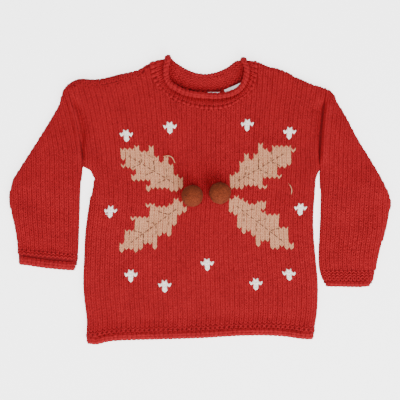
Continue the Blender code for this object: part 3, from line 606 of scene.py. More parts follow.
def fibre_finish(name, light, dark, roughness, soft, fine, relief, sheen=0.0):
    """A matt fibre finish: two colours mixed by a slow and a fine noise, and a fine bump. Sizes in millimetres."""
    sockets = {"Roughness": roughness, "Sheen Weight": sheen, "Sheen Roughness": 0.6, "Specular IOR Level": 0.2}
    finish, shader = finish_with(name, sockets)
    nodes, links = finish.node_tree.nodes, finish.node_tree.links
    place = nodes.new("ShaderNodeTexCoord")
    noises = []
    for size, detail in ((soft, 2.0), (fine, 4.0)):
        noise = nodes.new("ShaderNodeTexNoise")
        noise.inputs["Scale"].default_value = 1.0 / (size * MILLIMETRE)
        noise.inputs["Detail"].default_value = detail
        links.new(place.outputs["Object"], noise.inputs["Vector"])
        noises.append(noise.outputs["Fac"])
    both = nodes.new("ShaderNodeMix")
    both.data_type = "FLOAT"
    both.inputs["Factor"].default_value = FINE_SHARE
    links.new(noises[0], both.inputs["A"])
    links.new(noises[1], both.inputs["B"])
    ramp = nodes.new("ShaderNodeValToRGB")
    for stop, position, colour in zip(ramp.color_ramp.elements, RAMP_ENDS, (dark, light)):
        stop.position, stop.color = position, display(*colour)
    links.new(both.outputs["Result"], ramp.inputs["Fac"])
    links.new(ramp.outputs["Color"], shader.inputs["Base Color"])
    bump = nodes.new("ShaderNodeBump")
    bump.inputs["Strength"].default_value = 0.5
    bump.inputs["Distance"].default_value = relief * MILLIMETRE
    links.new(noises[1], bump.inputs["Height"])
    links.new(bump.outputs["Normal"], shader.inputs["Normal"])
    return finish


red_yarn = fibre_finish("red yarn", (158, 19, 28), (122, 11, 18), 0.9, 26.0, 1.4, 0.4)
# The cloth under the stitches is a darker red than the yarn. This is painted shade for the gaps between the stitches.
red_cloth_painted_shade = fibre_finish("red cloth in painted shade", (124, 11, 20), (98, 9, 14), 0.95, 26.0, 1.4, 0.3)
beige_yarn = fibre_finish("beige yarn", (208, 150, 116), (170, 114, 82), 0.9, 18.0, 1.4, 0.4)
white_yarn = fibre_finish("white yarn", (255, 248, 240), (232, 218, 208), 0.85, 12.0, 1.2, 0.3, 0.2)
brown_felt = fibre_finish("brown felt", (132, 56, 30), (66, 22, 10), 0.97, 4.0, 0.9, 0.6)
brown_thread = fibre_finish("brown thread", (92, 60, 48), (70, 44, 36), 0.8, 8.0, 0.5, 0.1)
white_tape = fibre_finish("white tape", (244, 240, 240), (228, 222, 224), 0.6, 6.0, 0.4, 0.05)
print("Finishes:", ", ".join(finish.name for finish in bpy.data.materials))

# %% [markdown]
# ## The cloth of the front
#
# The panel is a thin sheet just under the stitches. It closes the gaps between them, and its red is darker than the
# yarn's: painted shade for the depth between the stitches. Each sheet stands for one solid, and at the end the size
# it was knitted to is printed.

# %% Front cloth
SHELL = 1.5  # thickness of the sheet under the stitches
UNDER_RISE = 0.6  # stitches that the garment lies on are pressed flatter
STITCH_RISE = 1.4  # the stitches stand this far above the sheet


def over_grid(surface, flat, *given):
    """Points of a surface over a grid of flat cloth."""
    return surface(flat.reshape(-1, 2), *given).reshape(*flat.shape[:2], 3)


def cloth_sheet(node, points, faces, thickness=SHELL):
    """A sheet in place of a solid, whose thickness goes inwards from the side that shows."""
    # The sheet has the darker red of painted shade, which shows in the gaps between the stitches.
    piece = new_object(f"{node}_cloth", points, faces, red_cloth_painted_shade)
    layer = piece.modifiers.new("thickness", "SOLIDIFY")
    layer.thickness = thickness * MILLIMETRE
    layer.offset = -1.0
    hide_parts(node)
    print(f"{piece.name}: {len(faces)} quads")
    return piece


front_grid = over_grid(front_surface, front_flat, STITCH_RISE)
front_cloth = cloth_sheet("front", front_grid, grid_faces(*front_grid.shape[:2]))

# %% [markdown]
# ## The cloth of the back
#
# The back lies flat on the table. At its sides and shoulders it turns up to the seam. On the left shoulder it goes
# on over the fold and comes forward as a narrow strip, which is why the shoulder seam shows on the front there.


# %% Back cloth
def under_surface(flat, edges, sink=0.0):
    """Cloth of the underside, from the table up to the seam."""
    plan, share = turn_over(flat, edges)
    seam = SEAM_HEIGHT - SEAM_GAP / 2
    return np.column_stack([plan, sink + (seam - sink) * (1 - share)])


def strip_edge(x, gap=SEAM_GAP / 2):
    """Top of the flat shoulder strip above any x, and the way down to its seam."""
    return outline_y(x) + FOLD_EXTRA, way_to(np.maximum(shoulder_wrap(x) - gap, 0.3))


STRIP_SIZE = (40, 7)
back_flat = panel_grid(back_neck, False, columns=(28, 44, 28), rows=80)
back_grid = over_grid(under_surface, back_flat, body_edges, UNDER_RISE)
strip_x = np.linspace(ARMHOLE_LEFT[2] + SEAM_GAP, SHOULDER_WRAP[-1][0] - 0.5, STRIP_SIZE[0])
strip_top, strip_way = (row[:, None] for row in strip_edge(strip_x))
strip_y = strip_top - strip_way * np.linspace(1, 0, STRIP_SIZE[1])
strip_grid = over_grid(front_surface, np.stack([strip_x[:, None] + 0 * strip_y, strip_y], -1), STITCH_RISE)
back_points = np.concatenate([back_grid.reshape(-1, 3), strip_grid.reshape(-1, 3)])
back_faces = grid_faces(*back_grid.shape[:2])[:, ::-1]
strip_faces = grid_faces(*STRIP_SIZE, start=back_grid[..., 0].size)
back_cloth = cloth_sheet("back", back_points, np.concatenate([back_faces, strip_faces]), 1.4)

# %% [markdown]
# ## The sleeves
#
# Each sleeve is a flattened tube. Its wales hang straight down, and its upper fold cuts across them, so the sleeve
# is cut into level slices here. Between the underarm and the cuff a slice has a fold at both ends. Above the
# underarm its inner end is the armhole seam.


# %% Shape of a sleeve
class Sleeve:
    """Edges and heights of one flattened sleeve."""

    def __init__(self, table, armhole, roll_height, fold):
        self.side = math.copysign(1.0, armhole[0])
        self.armhole, self.fold = armhole, fold
        self.outer = sorted((row[1], row[0]) for row in table)
        inner = sorted((row[3], row[2]) for row in table)
        self.inner_x = sewn_side(inner, armhole, self.side * SEAM_GAP / 2)
        self.cuff = (table[-1][:2], table[-1][2:])
        self.cuff_middle = (self.cuff[0][1] + self.cuff[1][1]) / 2
        self.raised = 3 * roll_height + ROLL_SLIT + WALL / 2
        foot, tip = armhole[1], armhole[3]
        outer_line = edge_line(self.outer_x, self.outer[0][0] - 4, tip)
        inner_line = edge_line(self.inner_x, inner[0][0] - 4, foot)
        seam = edge_line(self.inner_x, foot, tip)
        right = self.side > 0
        self.edges = (outer_line, inner_line[::-1]) if right else (outer_line[::-1], inner_line)
        self.seam = seam if right else seam[::-1]

    def outer_x(self, y):
        return smooth_value(self.outer, y)

    def width(self, y):
        """Outer and inner end of the flat cloth at any height."""
        outer = widened(self.outer_x, y, self.side, 1.0)
        inner = widened(self.inner_x, y, -self.side, 1 - smooth_step(self.armhole[1] - 6, self.armhole[1] + 2, y))
        return outer, inner

    def cuff_y(self, x):
        (x0, y0), (x1, y1) = self.cuff
        return y0 + (x - x0) * (y1 - y0) / (x1 - x0)

    def slanted(self, x, y):
        """Level rows, tilted towards the cuff where they come near it."""
        return y + (self.cuff_y(x) - self.cuff_middle) * (1 - smooth_step(0.0, 90.0, y - self.cuff_middle))

    def top(self, plan):
        """Height of the upper side, at the tops of its stitches."""
        from_seam = -to_line(plan, self.seam)[0]
        near_cuff = 1 - smooth_step(0, CUFF_RISE, plan[:, 1] - self.cuff_y(plan[:, 0]))
        high = smooth_step(self.armhole[1] - 4, self.armhole[1] + 24, plan[:, 1])
        folds = self.fold(-from_seam, plan[:, 1]) - smooth_step(0.1, -1.0, from_seam)
        relief = creases(SLEEVE_CREASES + FINE_CREASES, plan) + high * folds
        return SLEEVE_HEIGHT + relief * (1 - near_cuff) + (self.raised - SLEEVE_HEIGHT) * near_cuff

    def surface(self, flat, sink=0.0, under=False):
        """Flat cloth of either side as it lies."""
        plan, share = turn_over(flat, self.edges)
        lap = 0.4 * (to_line(plan, self.seam)[0] > 0.1) * (plan[:, 1] > self.armhole[1])
        high = sink + lap if under else self.top(plan) - sink
        return np.column_stack([plan, SEAM_HEIGHT + (high - SEAM_HEIGHT) * share])


left_sleeve = Sleeve(SLEEVE_LEFT, ARMHOLE_LEFT, CUFF_LEFT_HALF[1], left_fold)
right_sleeve = Sleeve(SLEEVE_RIGHT, ARMHOLE_RIGHT, CUFF_RIGHT_HALF[1], right_fold)
for label, sleeve in (("Left", left_sleeve), ("Right", right_sleeve)):
    outer, inner = sleeve.width(np.array([0.0]))
    print(f"{label} sleeve: {abs(outer[0] - inner[0]):.0f} mm of flat cloth across at the elbow")


# %% Sleeve cloth
SLEEVE_TOP = 0.4  # the cloth ends this far below the armhole's tip


def sleeve_grid(sleeve, columns=42, rows=84):
    """A closed ring of columns: the upper side from the outer to the inner edge, then the underside back."""
    y = np.linspace(sleeve.cuff_middle - TUCK, sleeve.armhole[3] - SLEEVE_TOP, rows + 1)
    outer, inner = sleeve.width(y)
    inner = inner - sleeve.side * LAP * smooth_step(sleeve.armhole[1], sleeve.armhole[1] + 4, y)
    x = outer + (inner - outer) * np.linspace(0, 1, columns + 1)[:, None]
    flat = np.stack([x, sleeve.slanted(x, y[None, :])], -1)
    upper = over_grid(sleeve.surface, flat, STITCH_RISE)
    lower = over_grid(sleeve.surface, flat, UNDER_RISE, True)
    ring = np.concatenate([upper, lower[-2:0:-1]])
    return ring if sleeve.side < 0 else ring[::-1]


sleeve_cloths = []
for name, sleeve in (("sleeve_left", left_sleeve), ("sleeve_right", right_sleeve)):
    ring = sleeve_grid(sleeve)
    sleeve_cloths.append(cloth_sheet(name, ring, grid_faces(*ring.shape[:2], close=True)))

# %% [markdown]
# ## Stitches
#
# Stockinette is made of V stitches: two legs of yarn that lean apart towards the top and tuck into the V above.
# Each stitch fills one cell between two wales (columns) and two rows. With the corners of a cell known in space, a
# leg can be drawn once in shares of a cell and placed in all of them, so the knitting follows every fold. The
# other side of the fabric shows purl bumps, which are one rounded bar across a cell.

# %% Stitch forms
WALE = 5.5  # distance from one column of stitches to the next
ROW = 3.15
# Places along a leg: across the cell, up the cell, half width, height. Shares of a cell, then of the rise.
LEG = (
    (0.06, -0.80, 0.10, 0.10),
    (0.13, -0.42, 0.19, 0.68),
    (0.21, 0.02, 0.235, 1.0),
    (0.30, 0.50, 0.225, 0.88),
    (0.38, 0.98, 0.13, 0.25),
)
# Places across a purl bar, in the same columns: an arch of yarn.
ARCH = (
    (-0.56, -0.60, 0.34, 0.2),
    (-0.28, 0.02, 0.45, 0.85),
    (0.0, 0.38, 0.46, 1.0),
    (0.28, 0.02, 0.45, 0.85),
    (0.56, -0.60, 0.34, 0.2),
)
DIP = tuple((across, -up, half, height) for across, up, half, height in ARCH)  # the same arch turned over
# On a rolled edge the bars are pulled apart across and packed along the roll.
BAR = (
    (-0.50, -0.10, 0.40, 0.0),
    (-0.34, 0.0, 0.58, 0.75),
    (0.0, 0.05, 0.62, 1.0),
    (0.34, 0.0, 0.58, 0.75),
    (0.50, -0.10, 0.40, 0.0),
)
SECTION = ((-1.0, 0.0), (-0.66, 0.7), (0.0, 1.0), (0.66, 0.7), (1.0, 0.0))  # across the yarn: place, height
PLAIN_SECTION = ((-1.0, 0.0), (0.0, 1.0), (1.0, 0.0))


def yarn_form(places, upright, section=SECTION):
    """Points and quads of one short piece of yarn, wider across or up the cell."""
    points = []
    for across, up, half, height in places:
        for place, share in section:
            step = (half * place, 0.0) if upright else (0.0, -half * place)
            points.append((across + step[0], up + step[1], height * share - 0.15 * (share == 0)))
    return np.array(points), grid_faces(len(places), len(section))


def v_form(places, section=SECTION):
    """Both legs of a V stitch: one piece of yarn and its mirror image."""
    points, faces = yarn_form(places, True, section)
    return np.concatenate([points, points * (-1, 1, 1)]), np.concatenate([faces, faces[:, ::-1] + len(points)])


knit_form = v_form(LEG[::-1])
plain_form = v_form(LEG[::-2], PLAIN_SECTION)  # for the underside, with fewer points
star_form = v_form([(across, up, 1.3 * half, height) for across, up, half, height in LEG[::-1]])
arch_form = yarn_form(ARCH, False)
dip_form = yarn_form(DIP, False)
purl_form = yarn_form(BAR, False)
print(f"A V stitch has {len(knit_form[1]) * 2} triangles, a purl bump {len(purl_form[1]) * 2}")


# %% Cells and placing
def cells_of(lattice):
    """Middle, across, up and outward vectors of every cell between corner points."""
    a, b, c, d = lattice[:-1, :-1], lattice[1:, :-1], lattice[1:, 1:], lattice[:-1, 1:]
    across, up = (b + c - a - d) / 2, (c + d - a - b) / 2
    out = np.cross(across, up)
    out /= np.maximum(np.linalg.norm(out, axis=-1, keepdims=True), 1e-9)
    return (a + b + c + d) / 4, across, up, out


def relief_map(top, edges, low, high, sink, step=1.0):
    """Looks up the height of the cloth at any place, with 1 well inside the folded edges and 0 beside them."""
    x, y = (np.arange(low[axis], high[axis] + step, step) for axis in (0, 1))
    found = np.empty((len(x), len(y), 2))
    for column, place in enumerate(x):
        plan = np.column_stack([np.full(len(y), place), y])
        inside = np.min([to_line(plan, edge)[0] for edge in edges], axis=0)
        found[column] = np.column_stack([top(plan) - sink, smooth_step(6.0, 9.0, inside)])

    def level(places):
        spot = (places - np.array(low)) / step
        cell = np.clip(np.floor(spot).astype(int), 0, np.array([len(x), len(y)]) - 2)
        share = np.clip(spot - cell, 0.0, 1.0)[..., None]
        i, j, s, t = cell[..., 0], cell[..., 1], share[..., 0, :], share[..., 1, :]
        lower = found[i, j] * (1 - s) + found[i + 1, j] * s
        upper = found[i, j + 1] * (1 - s) + found[i + 1, j + 1] * s
        both = lower * (1 - t) + upper * t
        return both[..., 0], both[..., 1]

    return level


HEIGHT_SPREAD, WIDTH_SPREAD, PLACE_SPREAD, LEAN_SPREAD = 0.09, 0.04, 0.035, 0.03


def place_stitches(name, lattice, form, rise, seed, keep=None, material=red_yarn, level=None):
    """One mesh with a form in every kept cell. Each stitch is a little uneven, as hand work is."""
    cells = cells_of(lattice)
    keep = np.ones(cells[0].shape[:2], bool) if keep is None else keep
    middle, across, up, out = (part[keep] for part in cells)
    points, faces = form
    chance = np.random.default_rng(seed)
    count = len(middle)
    height = rise * chance.normal(1.0, HEIGHT_SPREAD, (count, 1, 1)) * points[None, :, 2:3]
    wide = chance.normal(1.0, WIDTH_SPREAD, (count, 1, 1)) * points[None, :, 0:1]
    high = points[None, :, 1:2] + chance.normal(0.0, PLACE_SPREAD, (count, 1, 1))
    lean = chance.normal(0.0, LEAN_SPREAD, (count, 1, 1)) * points[None, :, 1:2]
    made = middle[:, None] + across[:, None] * (wide + lean) + up[:, None] * high
    if level is not None:
        there, share = level(made[..., :2])
        made[..., 2] += share * (there - made[..., 2])
    made = made + out[:, None] * height
    made[..., 2] = np.maximum(made[..., 2], 0.0)  # the table presses the lowest ones flat
    numbers = faces[None] + (np.arange(count) * len(points))[:, None, None]
    piece = new_object(name, made, numbers.reshape(-1, 4), material)
    print(f"{name}: {count} stitches, {2 * len(numbers) * len(faces)} triangles")
    return piece


# %% [markdown]
# ## The pale holly and the stars
#
# The picture is knitted in: a stitch is pale where its cell falls inside a leaf. A holly leaf is a long pointed
# oval with hollows between its spines, so its half width is an oval times a wave. The stars are short charts, read
# from the top row down, and they are worked in white over single cells.

# %% Colours of the stitches
BALL_PLACES = {"ball_left": (-9.4, 5.0), "ball_right": (24.1, 8.5)}
# Leaves: stalk x, y, tip x, y.
LEAVES = ((-21, 14, -97, 60), (-19, -4, -95, -60), (36, 17, 112, 62), (34, 0, 110, -58))
LEAF_HALF = 27.0
LEAF_SPINES = 4
STAR = (
    ".#.",
    "###",
    ".#.",
    ".#.",
)
STARS = (
    (-85.8, 75), (-37.2, 84.6), (56.3, 88.6), (104.5, 77.6), (-110, -17.6), (121, -12.5), (-85.2, -92.5),
    (-40.8, -104.9), (7.8, -79.6), (65.4, -102), (104.5, -90),
)


def leaf_share(plan, leaf):
    """Below 1 inside a holly leaf."""
    start, tip = np.array(leaf[:2]), np.array(leaf[2:])
    run = tip - start
    length = np.hypot(*run)
    along = ((plan - start) @ run) / length**2
    side = (plan - start) @ np.array([-run[1], run[0]]) / length
    inside = np.clip(along, 1e-3, 1 - 1e-3)
    half = LEAF_HALF * np.sin(math.pi * inside**0.95) ** 0.7
    swept = inside - 0.16 * np.abs(side) / LEAF_HALF
    half = half * (1 - 0.5 * np.abs(np.sin(math.pi * LEAF_SPINES * swept)))
    return np.where((along > 0) & (along < 1), np.abs(side) / half, 9.0)


def star_cells(middle):
    """1 for the cells in the middle of a star, 2 and 3 for its left and right arm, 0 elsewhere."""
    white = np.zeros(middle.shape[:2], int)
    for star in STARS:
        gap = np.hypot(middle[..., 0] - star[0], middle[..., 1] - star[1])
        i, j = np.unravel_index(gap.argmin(), gap.shape)
        for down, marks in enumerate(STAR):
            for over, mark in enumerate(marks):
                if mark == "#":
                    arm = (2, 1, 3)[over]
                    white[i + over - len(marks) // 2, j + len(STAR) // 2 - down] = arm
    return white


print(f"{len(LEAVES)} leaves and {len(STARS)} stars")

# %% [markdown]
# ## Knitting the front
#
# The front is 50 stitches wide. Its rows follow the slope of the hem at the bottom and level out further up, and
# its wales follow the sides. Cells past the shoulder seam or the neckline are left out. The first two rows above the
# hem are purled, which makes the dotted lines over the rolled edge.

# %% Front stitches
FRONT_WALES = 50
HEM_LEVEL = float(hem_edge(np.array(0.0)))


# Columns keep their width under the arm: the outer ones end at the arch. Height, x.
WALES_LEFT = [row[:2] for row in BODY_SIDES[:8]] + [(4.0, -133.2), (20.0, -134.2), (32.0, -137.0), (44.0, -140.4)]
WALES_RIGHT = [row[::2] for row in BODY_SIDES[:8]] + [(8.0, 137.6), (24.0, 139.8), (40.0, 143.4)]


def parted(y):
    """How far the stitches stay away from the deep crease at the right armhole."""
    return smooth_step(44.0, 64.0, y) * (1 - smooth_step(110.0, 124.0, y))


def wale_side(knots, x_at, y, side, foot):
    """x of the outermost column on flat cloth."""
    join = smooth_step(foot + 2, foot + 14, y)
    x = smooth_value(knots, y) * (1 - join) + x_at(y) * join
    return x + side * FOLD_EXTRA * (1 - smooth_step(foot - 24, foot + 12, y))


def body_lattice(rows, wales=FRONT_WALES):
    """Corners of the stitches on flat cloth: columns from left to right, rows from the hem up."""
    share = np.linspace(0, 1, wales + 1)[:, None]
    level = HEM_LEVEL + np.arange(rows + 1) * ROW
    x = WALES_LEFT[0][1] + (WALES_RIGHT[0][1] - WALES_LEFT[0][1]) * share
    y = level + (hem_edge(x) - HEM_LEVEL) * (1 - smooth_step(0.0, 120.0, level - HEM_LEVEL))
    left = wale_side(WALES_LEFT, left_x, y, -1, ARMHOLE_LEFT[1])
    right = wale_side(WALES_RIGHT, right_x, y, 1, ARMHOLE_RIGHT[1]) - 1.1 * parted(y)
    lean = 5.0 * np.sin(math.pi * share) * smooth_step(20.0, 150.0, y)
    return np.stack([left + (right - left) * share + lean, y], -1)


def flat_middle(flat):
    return (flat[:-1, :-1] + flat[1:, :-1] + flat[1:, 1:] + flat[:-1, 1:]) / 4


def cell_sizes(flat):
    """Width and height of every cell on flat cloth."""
    across, up = np.abs(np.diff(flat[..., 0], axis=0)), np.diff(flat[..., 1], axis=1)
    return (across[:, 1:] + across[:, :-1]) / 2, (up[1:] + up[:-1]) / 2


def kept_cells(flat):
    """True for the cells that are high enough and lie inside both folded sides."""
    points = flat_middle(flat).reshape(-1, 2)
    inside = [to_line(points, side)[0] + FOLD_EXTRA > 0.2 * ROW for side in (left_line, right_line)]
    return np.all(inside, axis=0).reshape(flat.shape[0] - 1, -1) & (cell_sizes(flat)[1] > 0.4 * ROW)


def trimmed(flat, neck, front):
    """The last row of stitches is drawn down to the edge where the panel ends."""
    y = np.minimum(flat[..., 1], top_edge(flat[..., 0], neck, front))
    return np.stack([flat[..., 0], y], -1)


def arm_form(width, shift):
    """A V stitch drawn together towards the middle of its star."""
    points, faces = star_form
    return points * (width, 1, 1) + (shift, 0, 0), faces


front_rows = int((max(y for _, y in SHOULDER_OUTLINE) - HEM_LEVEL) / ROW)
body_flat = body_lattice(front_rows)
front_lattice_flat = trimmed(body_flat, front_neck, True)
front_lattice = over_grid(front_surface, front_lattice_flat, STITCH_RISE)
plan = cells_of(front_lattice)[0][..., :2]
on_front = kept_cells(front_lattice_flat)
pale = np.min([leaf_share(plan, leaf) for leaf in LEAVES], axis=0) < 1
white = star_cells(plan)
row = np.arange(front_rows)[None]
red = on_front & ~pale & (white == 0) & (row > 1)
left_half = np.arange(FRONT_WALES)[:, None] < FRONT_WALES // 2
MAP_LOW, MAP_HIGH = (-166.0, -170.0), (156.0, 178.0)
front_level = relief_map(front_top, body_edges, MAP_LOW, MAP_HIGH, STITCH_RISE)
front_parts = []
for name, keep, form, rise, seed, material, level in (
    ("front_stitches_left", red & left_half, knit_form, STITCH_RISE, 11, red_yarn, front_level),
    ("front_stitches_right", red & ~left_half, knit_form, STITCH_RISE, 12, red_yarn, front_level),
    ("front_purl_row", on_front & (row == 0), arch_form, 1.6, 13, red_yarn, front_level),
    ("front_upper_purl_row", on_front & (row == 1), dip_form, 1.5, 16, red_yarn, front_level),
    ("leaf_stitches", on_front & pale & (white == 0), knit_form, 1.05, 14, beige_yarn, front_level),
    ("star_stitches", white == 1, star_form, 1.9, 15, white_yarn, None),
    ("star_left_arms", white == 2, arm_form(0.80, 0.12), 1.7, 17, white_yarn, None),
    ("star_right_arms", white == 3, arm_form(0.86, -0.09), 1.8, 18, white_yarn, None),
):
    front_parts.append(place_stitches(name, front_lattice, form, rise, seed, keep, material, level))

# %% [markdown]
# ## Veins and loose yarn
#
# The veins are sewn on with brown thread in small straight stitches, after the knitting. Each stitch is a short
# piece of thread that dips into the cloth at both ends. Where a yarn was carried from one patch of colour to the
# next it can stand up in a slack loop, so there are a few of those too.


# %% Sewn threads
THREAD_SINK = 0.9  # threads lie this far below the tops of the stitches
VEIN_REACH = 12.0  # how far the side veins of a leaf run out


def thread(name, stitches, radius, material, sides=6, steps=9):
    """Round threads on the front: each is start x, y, end x, y, bow to the left and height of its arch."""
    rings = []
    for start_x, start_y, end_x, end_y, bow, arch in stitches:
        share = np.linspace(0, 1, steps)
        run = np.array((end_x - start_x, end_y - start_y)) / math.hypot(end_x - start_x, end_y - start_y)
        side = np.array((-run[1], run[0]))
        hump = np.sin(math.pi * share)
        plan = np.array((start_x, start_y)) + np.outer(share, (end_x - start_x, end_y - start_y))
        plan = plan + np.outer(hump * bow, side)
        height = front_surface(plan, THREAD_SINK)[:, 2] + arch * hump**0.6 - 0.6 * (1 - hump)
        line = np.column_stack([plan, height])
        along = unit(np.gradient(line, axis=0))
        across = unit(np.cross(UP, along))
        over = np.cross(along, across)
        turn = np.linspace(0, 2 * math.pi, sides, endpoint=False)[:, None, None]
        rings.append(line + radius * (across * np.cos(turn) + over * np.sin(turn)))
    faces = [grid_faces(sides, steps, start=number * sides * steps, close=True) for number in range(len(rings))]
    return new_object(name, rings, np.concatenate(faces), material)


def vein_stitches():
    """Running stitches along the middle of each leaf, with short side veins."""
    made = []
    for start_x, start_y, tip_x, tip_y in LEAVES:
        start, run = np.array((start_x, start_y)), np.array((tip_x - start_x, tip_y - start_y))
        side = np.array((-run[1], run[0])) / np.hypot(*run)
        for low in np.arange(0.12, 0.86, 0.075):
            one, two = start + run * low, start + run * (low + 0.058)
            made.append((*one, *two, 0.2, 0.7))
        for low in (0.24, 0.44, 0.64):
            for way in (-1, 1):
                for first, last in ((0.10, 0.42), (0.52, 0.86)):
                    one = start + run * (low + 0.10 * first) + side * way * VEIN_REACH * first
                    two = start + run * (low + 0.10 * last) + side * way * VEIN_REACH * last
                    made.append((*one, *two, 0.1, 0.6))
    return made


SLACK_LOOPS = (
    (-44.0, 52.0, -30.0, 44.0, 4.5, 3.2),
    (-66.0, 57.0, -52.0, 49.0, -2.0, 1.6),
    (106.0, 20.0, 109.0, 6.0, 2.0, 1.4),
)
YARN_TAILS = ((-114.0, -16.5, -107.5, -18.5, 0.4, 0.6), (59.0, 94.0, 56.0, 90.0, 0.2, 0.6))
veins = vein_stitches()
front_parts += [
    thread("leaf_veins", veins, 0.42, brown_thread),
    thread("slack_loops", SLACK_LOOPS, 0.55, beige_yarn, sides=8, steps=17),
    thread("yarn_tails", YARN_TAILS, 0.6, white_yarn),
]
print(f"{len(veins)} vein stitches")

# %% [markdown]
# ## Knitting the shoulder strip and the sleeves
#
# The strip of the back that comes forward over the left shoulder shows the back's stitches upside down, since its
# wales come over the fold towards the viewer. The sleeve's wales hang straight down from the shoulder, and its last
# rows above the cuff are purled.


# %% Strip stitches
def strip_lattice():
    """Corner points of the strip's stitches, and the cells that are high enough."""
    count = round((strip_x[-1] - strip_x[0]) / WALE)
    x = np.linspace(strip_x[0], strip_x[-1], count + 1)
    top, way = strip_edge(x)
    down = np.minimum(np.arange(int(way.max() / ROW) + 1) * ROW, way[:, None])
    y = (top[:, None] - down)[::-1]
    keep = np.diff(down, axis=1)[:-1] > 0.4 * ROW
    return over_grid(front_surface, np.stack([x[::-1, None] + 0 * y, y], -1), STITCH_RISE), keep[::-1]


strip_points, strip_keep = strip_lattice()
SEAM_X = np.linspace(-150.0, -62.0, 90)
SEAM_RADIUS = 0.75
SEAM_SINK = 1.15
seam_top, seam_way = strip_edge(SEAM_X, 0.0)
seam_line = front_surface(np.column_stack([SEAM_X, seam_top - seam_way]), SEAM_SINK)
seam_turn = np.linspace(0, 2 * math.pi, 6, endpoint=False)[:, None]
seam_round = np.stack([0 * seam_turn, np.cos(seam_turn), np.sin(seam_turn)], -1)
seam_faces = grid_faces(6, len(seam_line), close=True)[:, ::-1]
back_parts = [
    place_stitches("shoulder_strip_stitches", strip_points, knit_form, STITCH_RISE, 21, strip_keep),
    new_object("shoulder_seam", seam_line[None] + SEAM_RADIUS * seam_round, seam_faces, red_yarn),
]


# %% Sleeve stitches
def sleeve_lattice(sleeve, under=False):
    """Corner points of one side: columns from the inner edge outwards, rows from the cuff up."""
    low = sleeve.cuff_middle
    level = low + np.arange(int((sleeve.armhole[3] - low) / ROW) + 1) * ROW
    outer, inner = sleeve.side * np.stack(sleeve.width(level))
    folded = 1 - smooth_step(sleeve.armhole[1] - 50, sleeve.armhole[1] + 4, level)
    start = [widened(sleeve.inner_x, level + shift, -sleeve.side, folded) for shift in (-18.0, -9.0, 0.0, 9.0, 18.0)]
    start = sleeve.side * np.mean(start, axis=0)  # the wales pass the underarm without a jog
    count = int((outer - inner).max() / WALE) + 1
    wale = WALE * (0.9 + 0.1 * smooth_step(low, low + 70.0, level))
    x = start + np.arange(-1, count + 1)[:, None] * wale
    x = sleeve.side * np.clip(x, inner + 0.3 * SEAM_GAP + 0.8 * parted(level) * (sleeve.side > 0), outer)
    flat = np.stack([x, sleeve.slanted(x, level[None, :])], -1)
    keep = cell_sizes(flat)[0] > 0.3 * WALE
    points = over_grid(sleeve.surface, flat, UNDER_RISE if under else STITCH_RISE, under)
    return (points[::-1], keep[::-1]) if (sleeve.side < 0) != under else (points, keep)


sleeve_parts = []
for name, sleeve, purl_rows, seed in (
    ("sleeve_left", left_sleeve, (1, 2), 31),
    ("sleeve_right", right_sleeve, (1, 2, 3), 41),
):
    points, keep = sleeve_lattice(sleeve)
    level = relief_map(sleeve.top, sleeve.edges, points.min((0, 1))[:2], points.max((0, 1))[:2], STITCH_RISE)
    purled = np.isin(np.arange(keep.shape[1]), purl_rows)
    keep[:, 0] &= sleeve.side > 0  # the left roll covers the first row
    parts = [
        place_stitches(f"{name}_stitches", points, knit_form, STITCH_RISE, seed, keep & ~purled, level=level),
        place_stitches(f"{name}_purl_rows", points, arch_form, 1.6, seed + 1, keep & purled, level=level),
    ]
    points, keep = sleeve_lattice(sleeve, under=True)
    parts.append(place_stitches(f"{name}_under_stitches", points, plain_form, UNDER_RISE, seed + 2, keep))
    sleeve_parts.append(parts)

# %% [markdown]
# ## The neckband
#
# The neckband is picked up round the neckline and its free edge rolls outwards, as stockinette always does. So the
# band shows V stitches and the roll shows purl bumps. Its section is a flat strip that ends in an oval roll. The
# section is set up at stations round the neck: over the front, round the shoulder fold, back behind the neck, and
# round the other fold.

# %% Stations round the neck
NECK_SEAM = 0.35
NECK_ROLL_ANGLES = (206.0, 168.0, 128.0, 90.0, 52.0, 14.0, -24.0, -62.0, -90.0)
NECK_ROLL_ROWS = 6
ROLL_SINK = 0.9  # the cloth of a roll lies this far under the tops of its stitches


def squared(direction, along):
    """The direction made square to along."""
    return unit(direction - along * (direction * along).sum(-1, keepdims=True))


def neck_run(rows, count, front):
    """Base, roll place and normal at even steps between the two ends of a neckline."""
    share = np.linspace(0, 1, count + 1)[1:-1]
    found = smooth_curve(along_rows(rows), share)
    inside = outline_y(found[:, 0]) - found[:, 1]
    turned = np.sin(np.minimum(way_to(np.maximum(inside, 0.0)) / FOLD_REACH, math.pi / 2))
    height = SEAM_HEIGHT + ((FRONT_HEIGHT - WALL if front else WALL) - SEAM_HEIGHT) * turned
    base = np.column_stack([found[:, :2], height])
    roll = found[:, 2:5]
    normal = squared(UP if front else -UP, unit(roll - base))
    return base, roll, normal


def neck_turn(row, start, steps):
    """Stations that turn over the shoulder fold at one end of the neckline."""
    base = np.array([row[0], row[1], SEAM_HEIGHT])
    roll = np.array([row[2], row[3], NECK_FOLD_ROLL])
    along = unit(roll - base)
    up = squared(UP, along)
    outward = np.cross(up, along)
    outward *= math.copysign(1.0, outward[1])
    angles = math.pi * np.linspace(0, 1, steps)[:, None]
    normal = up * start * np.cos(angles) + outward * np.sin(angles)
    return base + normal * NECK_FOLD_RADIUS, roll + normal * NECK_FOLD_RADIUS, normal


def neck_ring(front_count, back_count, steps):
    parts = (
        neck_turn(NECK_FRONT[0], -1, steps),
        neck_run(NECK_FRONT, front_count, True),
        neck_turn(NECK_FRONT[-1], 1, steps),
        neck_run(NECK_BACK, back_count, False),
    )
    return [np.concatenate(group) for group in zip(*parts)]


